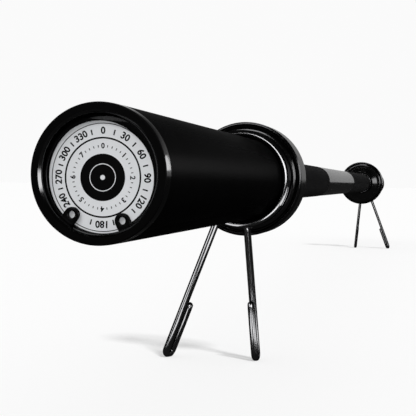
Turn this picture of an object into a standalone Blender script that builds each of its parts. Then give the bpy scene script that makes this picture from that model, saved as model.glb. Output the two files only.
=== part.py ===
"""A five-foot Olympic barbell that stands on the wire handles of its two spring collars.

Metres, +Z up. The bar lies along X and the origin is on the floor under the middle of the bar.
Each end is modelled in a frame of its own: x runs from the end face inwards along the axis,
and the other end is the same end turned half a turn about the vertical.
Angles round the axis are counted from straight down, positive towards -Y of the end's frame.
"""

import math

import bmesh
import bpy
import numpy as np
from mathutils import Matrix

# Driving sizes of the whole bar
BAR_LENGTH = 1.524
AXIS_HEIGHT = 0.1112
PLATE_LENGTH = 0.2555

# Clearances
SEAT_GAP = 0.0003
RUNNING_GAP = 0.0003
RING_SIDE_PLAY = 0.0002

# Shaft
GRIP_RADIUS = 0.0150
SMOOTH_RADIUS = 0.0148
JOURNAL_RADIUS = 0.0135
SMOOTH_LENGTH = 0.300
GRIP_BEVEL = 0.0006
END_LAND = 0.012
SHOULDER_INSET = 0.0008
JOURNAL_CHAMFER = 0.0010
JOURNAL_TAIL = 0.0040
END_ROOM = 0.0052
CENTRE_HOLE_RADIUS = 0.0030
CENTRE_HOLE_DEPTH = 0.0050

# Sleeve
SLEEVE_RADIUS = 0.0250
SLEEVE_BORE_RADIUS = 0.0181
MOUTH_RADIUS = 0.0212
MOUTH_CHAMFER = 0.0011
END_EDGE_RADIUS = 0.0006
SLEEVE_TAIL_CHAMFER = 0.0005

# Bushings and thrust washers
BUSHING_WALL = 0.0046
INNER_BUSHING_LENGTH = 0.038
OUTER_BUSHING_LENGTH = 0.030
BUSHING_CHAMFER = 0.0006
WASHER_THICKNESS = 0.0020
WASHER_ROOM = 0.0005

# Retaining ring on the journal
RETAINER_THICKNESS = 0.0015
RETAINER_GROOVE_DEPTH = 0.0008
RETAINER_WIDTH = 0.0024
RETAINER_LUG_RADIUS = 0.0018
RETAINER_LUG_OUTSET = 0.0002
RETAINER_HOLE_RADIUS = 0.0009
RETAINER_HALF_GAP = 16.0

# End plug, end disc and the snap ring in front of them
PLUG_THICKNESS = 0.0030
PLUG_CHAMFER = 0.0005
PLUG_DISH_RADIUS = 0.0140
PLUG_DISH_DEPTH = 0.0012
DISC_RADIUS = 0.0202
DISC_THICKNESS = 0.0008
SNAP_GROOVE_START = 0.0033
SNAP_GROOVE_DEPTH = 0.0011
SNAP_THICKNESS = 0.0016
SNAP_WIDTH = 0.0015
SNAP_LUG_RADIUS = 0.0027
SNAP_LUG_INSET = 0.0025
SNAP_HOLE_RADIUS = 0.0013
SNAP_HALF_GAP = 31.5
SNAP_GAP_ANGLE = -5.5

# Flange
FLANGE_RADIUS = 0.0353
FLANGE_THICKNESS = 0.0225
FLANGE_WEB = 0.0050
FLANGE_BEAD_RADIUS = 0.00125
FLANGE_BEAD_START = 240.0
FLANGE_GROOVE_WIDTH = 0.0005
FLANGE_GROOVE_DEPTH = 0.0018
FLANGE_FACE_EDGE = 0.0030
FLANGE_FACE_DROP = 0.0014
FLANGE_BORE_CHAMFER = 0.0004
BOSS_HEIGHT = 0.0030
BOSS_ROOT_RADIUS = 0.0260
BOSS_TOP_RADIUS = 0.0190
BOSS_EDGE = 0.0008
SHAFT_ROOM = 0.0010

# Spring collar: one wire, two turns with a crank and a hairpin at each end
WIRE_RADIUS = 0.00225
COIL_TURNS = 2
COIL_PITCH = 0.00525
CRANK_RADIUS = 0.0050
OUTER_LEG_ANGLE = -20.9
OUTER_LEG_OFFSET = 0.0040
INNER_LEG_ANGLE = 5.3
INNER_LEG_OFFSET = 0.0002
HAIRPIN_RADIUS = 0.0030
HAIRPIN_LENGTH = 0.032
OUTER_HAIRPIN_TWIST = 22.0
FOOT_FLAT = 0.0005
WIRE_END_TAPER = 0.0008
WIRE_END_SHARE = 0.65

# Mesh fineness
OUTER_FACETS = 36
INNER_FACETS = 24
COIL_STEPS = 24
WIRE_BEVEL_STEPS = 1
CRANK_STEPS = 5
HAIRPIN_STEPS = 6
ARC_STEPS = 3
FACE_EDGE_STEPS = 2
BEAD_STEPS = 4
LUG_STEPS = 6
HOLE_FACETS = 10
SHARP_ANGLE = 30.0
WIRE_SHARP_ANGLE = 65.0
MERGE_DISTANCE = 1e-6

# Cutters, which reach past what they cut
DRILL_OVERRUN = 0.0010
FLOOR_BLOCK_SPAN = 4.0

# Places along one end, worked out from the sizes above, from its end face inwards
SNAP_START = SNAP_GROOVE_START + RING_SIDE_PLAY
SNAP_GROOVE_END = SNAP_START + SNAP_THICKNESS + RING_SIDE_PLAY
DISC_START = SNAP_START + SNAP_THICKNESS + SEAT_GAP
PLUG_START = DISC_START + DISC_THICKNESS + SEAT_GAP
PLUG_SEAT = PLUG_START + PLUG_THICKNESS + SEAT_GAP
SHAFT_START = PLUG_SEAT + END_ROOM
RETAINER_GROOVE_START = SHAFT_START + JOURNAL_TAIL
RETAINER_START = RETAINER_GROOVE_START + RING_SIDE_PLAY
RETAINER_GROOVE_END = RETAINER_START + RETAINER_THICKNESS + RING_SIDE_PLAY
OUTER_WASHER_START = RETAINER_START + RETAINER_THICKNESS + SEAT_GAP
OUTER_BUSHING_START = OUTER_WASHER_START + WASHER_THICKNESS + SEAT_GAP
OUTER_SEAT_END = OUTER_BUSHING_START + OUTER_BUSHING_LENGTH + SEAT_GAP
WEB_START = PLATE_LENGTH + FLANGE_THICKNESS - FLANGE_WEB
SLEEVE_END = WEB_START - SEAT_GAP
SHOULDER_START = WEB_START - SHOULDER_INSET
INNER_WASHER_START = SHOULDER_START - SEAT_GAP - WASHER_THICKNESS
INNER_BUSHING_START = INNER_WASHER_START - SEAT_GAP - INNER_BUSHING_LENGTH
INNER_SEAT_START = INNER_BUSHING_START - SEAT_GAP
FLANGE_END = PLATE_LENGTH + FLANGE_THICKNESS + BOSS_HEIGHT

# Radii that follow from a neighbour and a clearance
BUSHING_BORE_RADIUS = JOURNAL_RADIUS + RUNNING_GAP
BUSHING_RADIUS = BUSHING_BORE_RADIUS + BUSHING_WALL
SEAT_RADIUS = BUSHING_RADIUS + SEAT_GAP
WASHER_RADIUS = SEAT_RADIUS - WASHER_ROOM
RETAINER_GROOVE_RADIUS = JOURNAL_RADIUS - RETAINER_GROOVE_DEPTH
RETAINER_BORE_RADIUS = RETAINER_GROOVE_RADIUS + SEAT_GAP
PLUG_RADIUS = MOUTH_RADIUS - SEAT_GAP
DISC_DROP = MOUTH_RADIUS - SEAT_GAP - DISC_RADIUS
SNAP_GROOVE_RADIUS = MOUTH_RADIUS + SNAP_GROOVE_DEPTH
SNAP_RADIUS = SNAP_GROOVE_RADIUS - SEAT_GAP
FLANGE_SOCKET_RADIUS = SLEEVE_RADIUS + SEAT_GAP
FLANGE_BORE_RADIUS = GRIP_RADIUS + SHAFT_ROOM
COIL_RADIUS = (SLEEVE_RADIUS + SEAT_GAP + WIRE_RADIUS) / math.cos(math.pi / COIL_STEPS)

# Colours as linear values, with roughness and metallic share
FINISHES = {
    "grip_steel": ((0.030, 0.030, 0.031), 0.50, 0.9),
    "sleeve_black": ((0.012, 0.012, 0.013), 0.35, 0.3),
    "flange_black": ((0.010, 0.010, 0.011), 0.20, 0.5),
    "bronze": ((0.45, 0.26, 0.09), 0.40, 1.0),
    "washer_steel": ((0.40, 0.40, 0.41), 0.35, 1.0),
    "ring_steel": ((0.020, 0.020, 0.022), 0.35, 0.8),
    "plug_plastic": ((0.020, 0.020, 0.020), 0.60, 0.0),
    "disc_print": ((0.62, 0.64, 0.66), 0.35, 0.2),
    "spring_steel": ((0.015, 0.015, 0.016), 0.15, 0.8),
}


def clear_scene():
    """Empty the scene of whatever it holds."""
    for old in list(bpy.data.objects):
        bpy.data.objects.remove(old)


def finish(name):
    """The material of one finish, made at its first use."""
    if name in bpy.data.materials:
        return bpy.data.materials[name]
    colour, roughness, metallic = FINISHES[name]
    material = bpy.data.materials.new(name)
    material.use_nodes = True
    shader = material.node_tree.nodes["Principled BSDF"]
    shader.inputs["Base Color"].default_value = (*colour, 1.0)
    shader.inputs["Roughness"].default_value = roughness
    shader.inputs["Metallic"].default_value = metallic
    material.diffuse_color = (*colour, 1.0)
    return material


def place(name, mesh, finish_name, parent=None, location=(0.0, 0.0, 0.0)):
    """An object with its finish, standing in its parent's frame."""
    obj = bpy.data.objects.new(name, mesh)
    bpy.context.scene.collection.objects.link(obj)
    if finish_name:
        obj.data.materials.clear()
        obj.data.materials.append(finish(finish_name))
    obj.parent = parent
    obj.location = location
    return obj


def mesh_from(bm, name, sharp_angle=SHARP_ANGLE):
    """Close a bmesh into a mesh, shaded smooth between its sharp edges."""
    bmesh.ops.recalc_face_normals(bm, faces=bm.faces)
    mesh = bpy.data.meshes.new(name)
    bm.to_mesh(mesh)
    bm.free()
    mesh.shade_smooth()
    mesh.set_sharp_from_angle(angle=math.radians(sharp_angle))
    return mesh


def arc(centre_x, centre_r, radius, start, end, steps=ARC_STEPS):
    """Points on a profile's arc, by angle in degrees from +x towards +r."""
    angles = np.radians(np.linspace(start, end, steps + 1))
    return [(centre_x + radius * math.cos(a), centre_r + radius * math.sin(a)) for a in angles]


def revolve(name, profile, facets):
    """Turn a profile of (x, r) points about the axis, with its ends on the axis or joined up."""
    bm = bmesh.new()
    verts = [bm.verts.new((x, 0.0, r)) for x, r in profile]
    edges = [bm.edges.new(pair) for pair in zip(verts, verts[1:])]
    if profile[0][1] > 0.0:
        edges.append(bm.edges.new((verts[-1], verts[0])))
    bmesh.ops.spin(
        bm, geom=verts + edges, axis=(1.0, 0.0, 0.0), cent=(0.0, 0.0, 0.0),
        angle=math.tau, steps=facets, use_merge=True,
    )
    bmesh.ops.remove_doubles(bm, verts=bm.verts, dist=MERGE_DISTANCE)
    return mesh_from(bm, name)


def ring(name, start, end, inner, outer, chamfer, facets):
    """A plain turned ring with a small chamfer on its four edges."""
    profile = [
        (start, inner + chamfer), (start, outer - chamfer), (start + chamfer, outer),
        (end - chamfer, outer), (end, outer - chamfer), (end, inner + chamfer),
        (end - chamfer, inner), (start + chamfer, inner),
    ]
    return revolve(name, profile, facets)


def on_ring(radius, angle):
    """A point (y, z) at an angle in degrees from straight down, positive towards -Y."""
    return (-radius * math.sin(math.radians(angle)), -radius * math.cos(math.radians(angle)))


def lugged_outline(plain_radius, lug_side_radius, lug_centre, lug_radius, half_gap, facets):
    """Outline of an open ring whose two ends are round-nosed lugs, the gap straight down.

    The plain edge runs past the lugs' gap sides, each lug is a tab with a half-round nose on the
    side away from the plain edge, and the other edge joins the lugs' far sides.
    """
    nose = math.copysign(1.0, lug_side_radius - plain_radius)
    plain_turn = math.degrees(math.asin(lug_radius / plain_radius))
    lug_turn = math.degrees(math.asin(lug_radius / lug_side_radius))
    outline = []
    for angle in np.linspace(360.0 - half_gap + plain_turn, half_gap - plain_turn, facets):
        outline.append(on_ring(plain_radius, angle))
    for side in (1.0, -1.0):
        centre = np.array(on_ring(lug_centre, side * half_gap))
        outwards = np.array(on_ring(1.0, side * half_gap))
        away = np.array(on_ring(1.0, side * (half_gap + 90.0)))
        turns = np.radians(np.linspace(-90.0, 90.0, LUG_STEPS + 1))
        curve = [
            centre + lug_radius * (math.sin(t) * away + nose * math.cos(t) * outwards) for t in turns
        ]
        if side < 0.0:
            curve.reverse()
        outline.extend(tuple(point) for point in curve)
        if side > 0.0:
            for angle in np.linspace(half_gap + lug_turn, 360.0 - half_gap - lug_turn, facets):
                outline.append(on_ring(lug_side_radius, angle))
    return outline


def plate(name, outline, thickness):
    """Extrude a closed outline of (y, z) points along the axis."""
    bm = bmesh.new()
    face = bm.faces.new([bm.verts.new((0.0, y, z)) for y, z in outline])
    grown = bmesh.ops.extrude_face_region(bm, geom=[face])
    moved = [item for item in grown["geom"] if isinstance(item, bmesh.types.BMVert)]
    bmesh.ops.translate(bm, verts=moved, vec=(thickness, 0.0, 0.0))
    return mesh_from(bm, name)


def drill(obj, centres, radius, thickness):
    """Cut plier holes through a plate that lies square to the axis."""
    bm = bmesh.new()
    for y, z in centres:
        bmesh.ops.create_cone(
            bm, cap_ends=True, segments=HOLE_FACETS, radius1=radius, radius2=radius,
            depth=thickness + 2.0 * DRILL_OVERRUN,
            matrix=Matrix.Translation((thickness / 2.0, y, z)) @ Matrix.Rotation(math.pi / 2.0, 4, "Y"),
        )
    cutter = place(obj.name + "_drill", mesh_from(bm, obj.name + "_drill"), None, obj)
    cutter.hide_render = True
    cutter.display_type = "WIRE"
    cut = obj.modifiers.new("plier_holes", "BOOLEAN")
    cut.operation = "DIFFERENCE"
    cut.solver = "EXACT"
    cut.object = cutter


def half_shaft_profile():
    """Outline of the shaft from its lathe centre at one end to the middle of the smooth stretch."""
    half = BAR_LENGTH / 2.0
    grip_end = half - SMOOTH_LENGTH / 2.0
    grip_start = FLANGE_END + END_LAND
    return [
        (SHAFT_START + CENTRE_HOLE_DEPTH, 0.0),
        (SHAFT_START, CENTRE_HOLE_RADIUS),
        (SHAFT_START, JOURNAL_RADIUS - JOURNAL_CHAMFER),
        (SHAFT_START + JOURNAL_CHAMFER, JOURNAL_RADIUS),
        (RETAINER_GROOVE_START, JOURNAL_RADIUS),
        (RETAINER_GROOVE_START, RETAINER_GROOVE_RADIUS),
        (RETAINER_GROOVE_END, RETAINER_GROOVE_RADIUS),
        (RETAINER_GROOVE_END, JOURNAL_RADIUS),
        (SHOULDER_START, JOURNAL_RADIUS),
        (SHOULDER_START, SMOOTH_RADIUS),
        (grip_start - GRIP_BEVEL, SMOOTH_RADIUS),
        (grip_start, GRIP_RADIUS),
        (grip_end, GRIP_RADIUS),
        (grip_end + GRIP_BEVEL, SMOOTH_RADIUS),
    ]


def build_shaft():
    """The one-piece shaft: two journals, two knurled grips and the smooth middle."""
    half = BAR_LENGTH / 2.0
    left = [(x - half, r) for x, r in half_shaft_profile()]
    right = [(-x, r) for x, r in reversed(left)]
    mesh = revolve("shaft", left + right, OUTER_FACETS)
    return place("shaft", mesh, "grip_steel", None, (0.0, 0.0, AXIS_HEIGHT))


def sleeve_mesh(name):
    """The tube that carries the plates, bored for two bushings and for the stack at its mouth."""
    edge = arc(END_EDGE_RADIUS, SLEEVE_RADIUS - END_EDGE_RADIUS, END_EDGE_RADIUS, 180.0, 90.0)
    profile = edge + [
        (SLEEVE_END - SLEEVE_TAIL_CHAMFER, SLEEVE_RADIUS),
        (SLEEVE_END, SLEEVE_RADIUS - SLEEVE_TAIL_CHAMFER),
        (SLEEVE_END, SEAT_RADIUS),
        (INNER_SEAT_START, SEAT_RADIUS),
        (INNER_SEAT_START, SLEEVE_BORE_RADIUS),
        (OUTER_SEAT_END, SLEEVE_BORE_RADIUS),
        (OUTER_SEAT_END, SEAT_RADIUS),
        (PLUG_SEAT, SEAT_RADIUS),
        (PLUG_SEAT, MOUTH_RADIUS),
        (SNAP_GROOVE_END, MOUTH_RADIUS),
        (SNAP_GROOVE_END, SNAP_GROOVE_RADIUS),
        (SNAP_GROOVE_START, SNAP_GROOVE_RADIUS),
        (SNAP_GROOVE_START, MOUTH_RADIUS),
        (MOUTH_CHAMFER, MOUTH_RADIUS),
        (0.0, MOUTH_RADIUS + MOUTH_CHAMFER),
    ]
    return revolve(name, profile, OUTER_FACETS)


def flange_side(face_x, inwards):
    """Half of the flange's rim profile, from its flat face out to the rim.

    The face rounds down into a narrow groove, and a round bead beyond it carries the rim.
    """
    bead_centre = FLANGE_RADIUS - FLANGE_BEAD_RADIUS
    groove_radius = FLANGE_RADIUS - 2.0 * FLANGE_BEAD_RADIUS
    face_edge = groove_radius - FLANGE_GROOVE_WIDTH
    turn = math.degrees(math.acos(1.0 - FLANGE_FACE_DROP / FLANGE_FACE_EDGE))
    flat_radius = face_edge - FLANGE_FACE_EDGE * math.sin(math.radians(turn))
    shoulder = arc(
        FLANGE_FACE_EDGE, flat_radius, FLANGE_FACE_EDGE, 180.0, 180.0 - turn, FACE_EDGE_STEPS,
    )
    groove = [(FLANGE_GROOVE_DEPTH, face_edge), (FLANGE_GROOVE_DEPTH, groove_radius)]
    bead = arc(
        FLANGE_BEAD_RADIUS, bead_centre, FLANGE_BEAD_RADIUS, FLANGE_BEAD_START, 90.0, BEAD_STEPS,
    )
    return [(face_x + inwards * x, r) for x, r in shoulder + groove + bead]


def flange_mesh(name):
    """The collar ring at the sleeve's inner end, with a socket for the sleeve and a conical boss."""
    back = PLATE_LENGTH + FLANGE_THICKNESS
    profile = [(PLATE_LENGTH, FLANGE_SOCKET_RADIUS + FLANGE_BORE_CHAMFER)]
    profile += flange_side(PLATE_LENGTH, 1.0)
    profile += reversed(flange_side(back, -1.0))
    profile += [
        (back, BOSS_ROOT_RADIUS),
        (FLANGE_END, BOSS_TOP_RADIUS),
        (FLANGE_END, FLANGE_BORE_RADIUS + BOSS_EDGE),
        (FLANGE_END - BOSS_EDGE, FLANGE_BORE_RADIUS),
        (WEB_START, FLANGE_BORE_RADIUS),
        (WEB_START, FLANGE_SOCKET_RADIUS),
        (PLATE_LENGTH + FLANGE_BORE_CHAMFER, FLANGE_SOCKET_RADIUS),
    ]
    return revolve(name, profile, OUTER_FACETS)


def bushing_mesh(name, start, length):
    """A plain bronze bushing, seated in the sleeve and running on the journal."""
    end = start + length
    return ring(name, start, end, BUSHING_BORE_RADIUS, BUSHING_RADIUS, BUSHING_CHAMFER, INNER_FACETS)


def washer_mesh(name, start):
    """A thrust washer that turns on the journal."""
    end = start + WASHER_THICKNESS
    inner = BUSHING_BORE_RADIUS
    profile = [(start, inner), (start, WASHER_RADIUS), (end, WASHER_RADIUS), (end, inner)]
    return revolve(name, profile, INNER_FACETS)


def plug_mesh(name):
    """The plug that closes the sleeve, dished on its hidden side."""
    back = PLUG_START + PLUG_THICKNESS
    profile = [
        (PLUG_START, 0.0),
        (PLUG_START, PLUG_RADIUS - PLUG_CHAMFER),
        (PLUG_START + PLUG_CHAMFER, PLUG_RADIUS),
        (back, PLUG_RADIUS),
        (back, PLUG_DISH_RADIUS),
        (back - PLUG_DISH_DEPTH, PLUG_DISH_RADIUS - PLUG_DISH_DEPTH),
        (back - PLUG_DISH_DEPTH, 0.0),
    ]
    return revolve(name, profile, INNER_FACETS)


def disc_mesh(name):
    """The thin printed disc, whose face shows through the snap ring."""
    profile = [(0.0, 0.0), (0.0, DISC_RADIUS), (DISC_THICKNESS, DISC_RADIUS), (DISC_THICKNESS, 0.0)]
    return revolve(name, profile, OUTER_FACETS)


def build_snap_ring(name, parent):
    """The internal ring in the mouth's groove, with two drilled lugs beside its gap."""
    inner = SNAP_RADIUS - SNAP_WIDTH
    lug_centre = inner - SNAP_LUG_INSET
    outline = lugged_outline(SNAP_RADIUS, inner, lug_centre, SNAP_LUG_RADIUS, SNAP_HALF_GAP, OUTER_FACETS)
    obj = place(name, plate(name, outline, SNAP_THICKNESS), "ring_steel", parent, (SNAP_START, 0.0, 0.0))
    obj.rotation_euler.x = -math.radians(SNAP_GAP_ANGLE)
    centres = [on_ring(lug_centre, side * SNAP_HALF_GAP) for side in (-1.0, 1.0)]
    drill(obj, centres, SNAP_HOLE_RADIUS, SNAP_THICKNESS)
    return obj


def build_retaining_ring(name, parent):
    """The external ring in the journal's groove, which keeps the sleeve on the shaft."""
    outer = RETAINER_BORE_RADIUS + RETAINER_WIDTH
    lug_centre = outer + RETAINER_LUG_OUTSET
    outline = lugged_outline(
        RETAINER_BORE_RADIUS, outer, lug_centre, RETAINER_LUG_RADIUS, RETAINER_HALF_GAP, INNER_FACETS,
    )
    mesh = plate(name, outline, RETAINER_THICKNESS)
    obj = place(name, mesh, "washer_steel", parent, (RETAINER_START, 0.0, 0.0))
    centres = [on_ring(lug_centre, side * RETAINER_HALF_GAP) for side in (-1.0, 1.0)]
    drill(obj, centres, RETAINER_HOLE_RADIUS, RETAINER_THICKNESS)
    return obj


def leg_axes(angle):
    """A leg's outward direction and the direction to its left, both square to the axis."""
    turn = math.radians(angle)
    outwards = np.array((0.0, -math.sin(turn), -math.cos(turn)))
    leftwards = np.array((0.0, math.cos(turn), -math.sin(turn)))
    return outwards, leftwards


def crank(angle, offset, side):
    """The bend from the coil into a leg, and the coil angle at which it starts.

    Its centre lies outside the coil, one bend radius to the given side of the leg, so that the
    bend touches both the coil's circle and the leg's line. Points run from the leg to the coil.
    """
    outwards, leftwards = leg_axes(angle)
    across = offset + side * CRANK_RADIUS
    along = math.sqrt((COIL_RADIUS + CRANK_RADIUS) ** 2 - across ** 2)
    centre = along * outwards + across * leftwards
    sweep = math.atan2(along, side * across)
    points = []
    for a in np.linspace(0.0, sweep, CRANK_STEPS + 1):
        points.append(centre - CRANK_RADIUS * (side * math.cos(a) * leftwards + math.sin(a) * outwards))
    return points, angle - math.degrees(math.atan2(across, along))


def hairpin(angle, offset, sideways):
    """The loop at a leg's foot, from the leg's end round to the tip of the return wire.

    The leg's length is what brings the loop's lowest point one flat's depth below the floor.
    """
    outwards, leftwards = leg_axes(angle)
    lowest = HAIRPIN_RADIUS * (math.hypot(outwards[2], sideways[2]) - sideways[2])
    reach = AXIS_HEIGHT + FOOT_FLAT - WIRE_RADIUS - lowest + offset * leftwards[2]
    end = -reach / outwards[2] * outwards + offset * leftwards
    points = []
    for a in np.linspace(0.0, math.pi, HAIRPIN_STEPS + 1):
        points.append(end + HAIRPIN_RADIUS * ((1.0 - math.cos(a)) * sideways + math.sin(a) * outwards))
    points.append(points[-1] - HAIRPIN_LENGTH * outwards)
    return points


def collar_route():
    """Centre line of the collar's wire from one hairpin's tip to the other's.

    The near leg is the outer one. The coil advances one pitch per turn towards the flange.
    """
    twist = math.radians(OUTER_HAIRPIN_TWIST)
    outer_left = leg_axes(OUTER_LEG_ANGLE)[1]
    outer_sideways = np.array((math.cos(twist), 0.0, 0.0)) - math.sin(twist) * outer_left
    outer_loop = hairpin(OUTER_LEG_ANGLE, OUTER_LEG_OFFSET, outer_sideways)
    inner_loop = hairpin(INNER_LEG_ANGLE, INNER_LEG_OFFSET, np.array((-1.0, 0.0, 0.0)))
    outer_crank, coil_start = crank(OUTER_LEG_ANGLE, OUTER_LEG_OFFSET, -1.0)
    inner_crank, coil_end = crank(INNER_LEG_ANGLE, INNER_LEG_OFFSET, 1.0)
    coil_end += 360.0 * COIL_TURNS
    advance = COIL_PITCH * (coil_end - coil_start) / 360.0
    steps = math.ceil((coil_end - coil_start) / 360.0 * COIL_STEPS)
    coil = []
    for share in np.linspace(0.0, 1.0, steps + 1)[1:-1]:
        y, z = on_ring(COIL_RADIUS, coil_start + share * (coil_end - coil_start))
        coil.append(np.array((share * advance, y, z)))
    shift = np.array((advance, 0.0, 0.0))
    tail = [point + shift for point in list(reversed(inner_crank)) + inner_loop]
    return np.array(list(reversed(outer_loop)) + outer_crank + coil + tail), advance


def least_gap(route):
    """Least distance between stretches of the wire that are further apart along it than a hairpin."""
    lengths = np.concatenate(([0.0], np.cumsum(np.linalg.norm(np.diff(route, axis=0), axis=1))))
    marks = np.arange(0.0, lengths[-1], WIRE_RADIUS / 4.0)
    points = np.stack([np.interp(marks, lengths, route[:, k]) for k in range(3)], axis=1)
    least = math.inf
    for i, point in enumerate(points):
        far = marks > marks[i] + math.pi * HAIRPIN_RADIUS
        if far.any():
            least = min(least, float(np.linalg.norm(points[far] - point, axis=1).min()))
    return least - 2.0 * WIRE_RADIUS


def wire_mesh(name, route):
    """A round wire along a route, its two cut ends slightly tapered."""
    first = route[0] - WIRE_END_TAPER * (route[1] - route[0]) / np.linalg.norm(route[1] - route[0])
    last = route[-1] + WIRE_END_TAPER * (route[-1] - route[-2]) / np.linalg.norm(route[-1] - route[-2])
    points = np.vstack((first, route, last))
    curve = bpy.data.curves.new(name, "CURVE")
    curve.dimensions = "3D"
    curve.bevel_depth = WIRE_RADIUS
    curve.bevel_resolution = WIRE_BEVEL_STEPS
    curve.use_fill_caps = True
    spline = curve.splines.new("POLY")
    spline.points.add(len(points) - 1)
    spline.points.foreach_set("co", np.hstack((points, np.ones((len(points), 1)))).ravel())
    spline.points[0].radius = WIRE_END_SHARE
    spline.points[-1].radius = WIRE_END_SHARE
    guide = bpy.data.objects.new(name + "_route", curve)
    bpy.context.scene.collection.objects.link(guide)
    bpy.context.view_layer.update()
    evaluated = guide.evaluated_get(bpy.context.evaluated_depsgraph_get())
    bm = bmesh.new()
    bm.from_mesh(evaluated.to_mesh())
    bmesh.ops.remove_doubles(bm, verts=bm.verts, dist=MERGE_DISTANCE)
    bpy.data.objects.remove(guide)
    return mesh_from(bm, name, WIRE_SHARP_ANGLE)


def build_floor_cutter(parent):
    """A block whose top is the floor, which flattens the feet of the wire handles."""
    size = FLOOR_BLOCK_SPAN * AXIS_HEIGHT
    bm = bmesh.new()
    bmesh.ops.create_cube(bm, size=size)
    cutter = place(parent.name + "_floor", mesh_from(bm, parent.name + "_floor"), None, parent)
    cutter.location = (PLATE_LENGTH, 0.0, -AXIS_HEIGHT - size / 2.0)
    cutter.hide_render = True
    cutter.display_type = "WIRE"
    return cutter


def build_spring_collar(name, parent):
    """The spring collar pushed up against the flange, its handles down as feet."""
    route, advance = collar_route()
    print(f"{name}: least gap of the wire to itself {least_gap(route) * 1000.0:.2f} mm")
    start = PLATE_LENGTH - SEAT_GAP - WIRE_RADIUS - advance
    obj = place(name, wire_mesh(name, route), "spring_steel", parent, (start, 0.0, 0.0))
    flats = obj.modifiers.new("foot_flats", "BOOLEAN")
    flats.operation = "DIFFERENCE"
    flats.solver = "EXACT"
    flats.object = build_floor_cutter(parent)
    return obj


def build_end(side, x, turn):
    """Everything on one end of the bar, in the frame of that end's face."""
    end = bpy.data.objects.new(side + "_end", None)
    bpy.context.scene.collection.objects.link(end)
    end.location = (x, 0.0, AXIS_HEIGHT)
    end.rotation_euler.z = turn

    def named(piece):
        return f"{side}_{piece}"

    def turned(piece, make, finish_name, *sizes, location=(0.0, 0.0, 0.0)):
        place(named(piece), make(named(piece), *sizes), finish_name, end, location)

    turned("sleeve", sleeve_mesh, "sleeve_black")
    turned("flange", flange_mesh, "flange_black")
    turned("inner_bushing", bushing_mesh, "bronze", INNER_BUSHING_START, INNER_BUSHING_LENGTH)
    turned("outer_bushing", bushing_mesh, "bronze", OUTER_BUSHING_START, OUTER_BUSHING_LENGTH)
    turned("inner_washer", washer_mesh, "washer_steel", INNER_WASHER_START)
    turned("outer_washer", washer_mesh, "washer_steel", OUTER_WASHER_START)
    turned("end_plug", plug_mesh, "plug_plastic")
    turned("end_disc", disc_mesh, "disc_print", location=(DISC_START, 0.0, -DISC_DROP))
    build_snap_ring(named("snap_ring"), end)
    build_retaining_ring(named("retaining_ring"), end)
    build_spring_collar(named("spring_collar"), end)


def main():
    clear_scene()
    build_shaft()
    build_end("left", -BAR_LENGTH / 2.0, 0.0)
    build_end("right", BAR_LENGTH / 2.0, math.pi)


main()
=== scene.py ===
"""Dresses a packed five-foot Olympic barbell and sets up its picture.

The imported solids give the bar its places: every piece made here is worked out from their boxes and
from the sizes that the classes below hold. Metres, +Z up, and the bar lies along X.

Each end has a frame of its own, as on a lathe: x runs from the end face inwards along the axis, and
angles round the axis are counted from straight down, positive towards -y of that frame.
"""

import logging
import math
from dataclasses import dataclass, field
from enum import Enum
from typing import Callable, Sequence

import bmesh
import bpy
import numpy as np
from mathutils import Matrix, Vector


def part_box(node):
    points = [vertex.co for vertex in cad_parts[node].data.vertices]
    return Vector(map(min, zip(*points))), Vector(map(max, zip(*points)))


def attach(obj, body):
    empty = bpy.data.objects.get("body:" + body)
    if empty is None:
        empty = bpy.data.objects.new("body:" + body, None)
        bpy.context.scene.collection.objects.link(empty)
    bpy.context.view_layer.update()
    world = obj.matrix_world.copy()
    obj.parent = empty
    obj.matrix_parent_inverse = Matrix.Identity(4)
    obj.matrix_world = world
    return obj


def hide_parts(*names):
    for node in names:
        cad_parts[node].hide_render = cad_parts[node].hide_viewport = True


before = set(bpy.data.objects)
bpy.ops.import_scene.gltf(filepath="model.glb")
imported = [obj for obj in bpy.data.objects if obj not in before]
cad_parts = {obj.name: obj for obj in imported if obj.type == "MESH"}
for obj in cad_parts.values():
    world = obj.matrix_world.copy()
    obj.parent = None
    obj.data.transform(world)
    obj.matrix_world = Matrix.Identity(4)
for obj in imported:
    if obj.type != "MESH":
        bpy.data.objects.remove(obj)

LOG = logging.getLogger("barbell")

MILLIMETRE = 0.001
SEAT_GAP = 0.3 * MILLIMETRE
RING_PLAY = 0.2 * MILLIMETRE
GRIP_LAND = 12.0 * MILLIMETRE
EDGE_MARGIN = 0.4 * MILLIMETRE

# The share of an edge that a rounded corner may take, and the half angles in radians, from the
# sharpest to the flattest, that a corner is taken to have.
EDGE_SHARE = 0.45
SHARPEST = 0.01
FLATTEST = math.pi / 2.0 - 1e-4

# Edges longer than so many margins get a point near both ends.
LONG_EDGE = 4.0

# A length below which a row has none, and a radius below which a profile starts on the axis.
NO_LENGTH = 1e-12
ON_AXIS = 1e-9

# A wire's domed end: the angles of its rings, how far its middle lies behind the path's end, and
# its smallest ring, both in radii. The direction is one that no wire here starts along.
DOME_ANGLES = (0.0, 12.0, 30.0, 50.0, 70.0)
DOME_SET_BACK = 0.999
DOME_TIP = 0.02
ASIDE = (0.0, 0.3, 1.0)

# Where the lamps for the wires face, which is the near collar, and how high their cards on the
# floor lie.
NEAR_COLLAR = (-0.52, 0.0, 0.10)
CARD_LIFT = 2.0 * MILLIMETRE

Colour = tuple[float, float, float]
Zoner = Callable[[np.ndarray, np.ndarray], np.ndarray]
Socket = bpy.types.NodeSocket


class Side(Enum):
    """The two ends of the bar, with the way that each end's own x runs in the world."""

    LEFT = 1.0
    RIGHT = -1.0

    @property
    def word(self) -> str:
        """The end's name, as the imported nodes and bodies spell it."""
        return self.name.lower()


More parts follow.
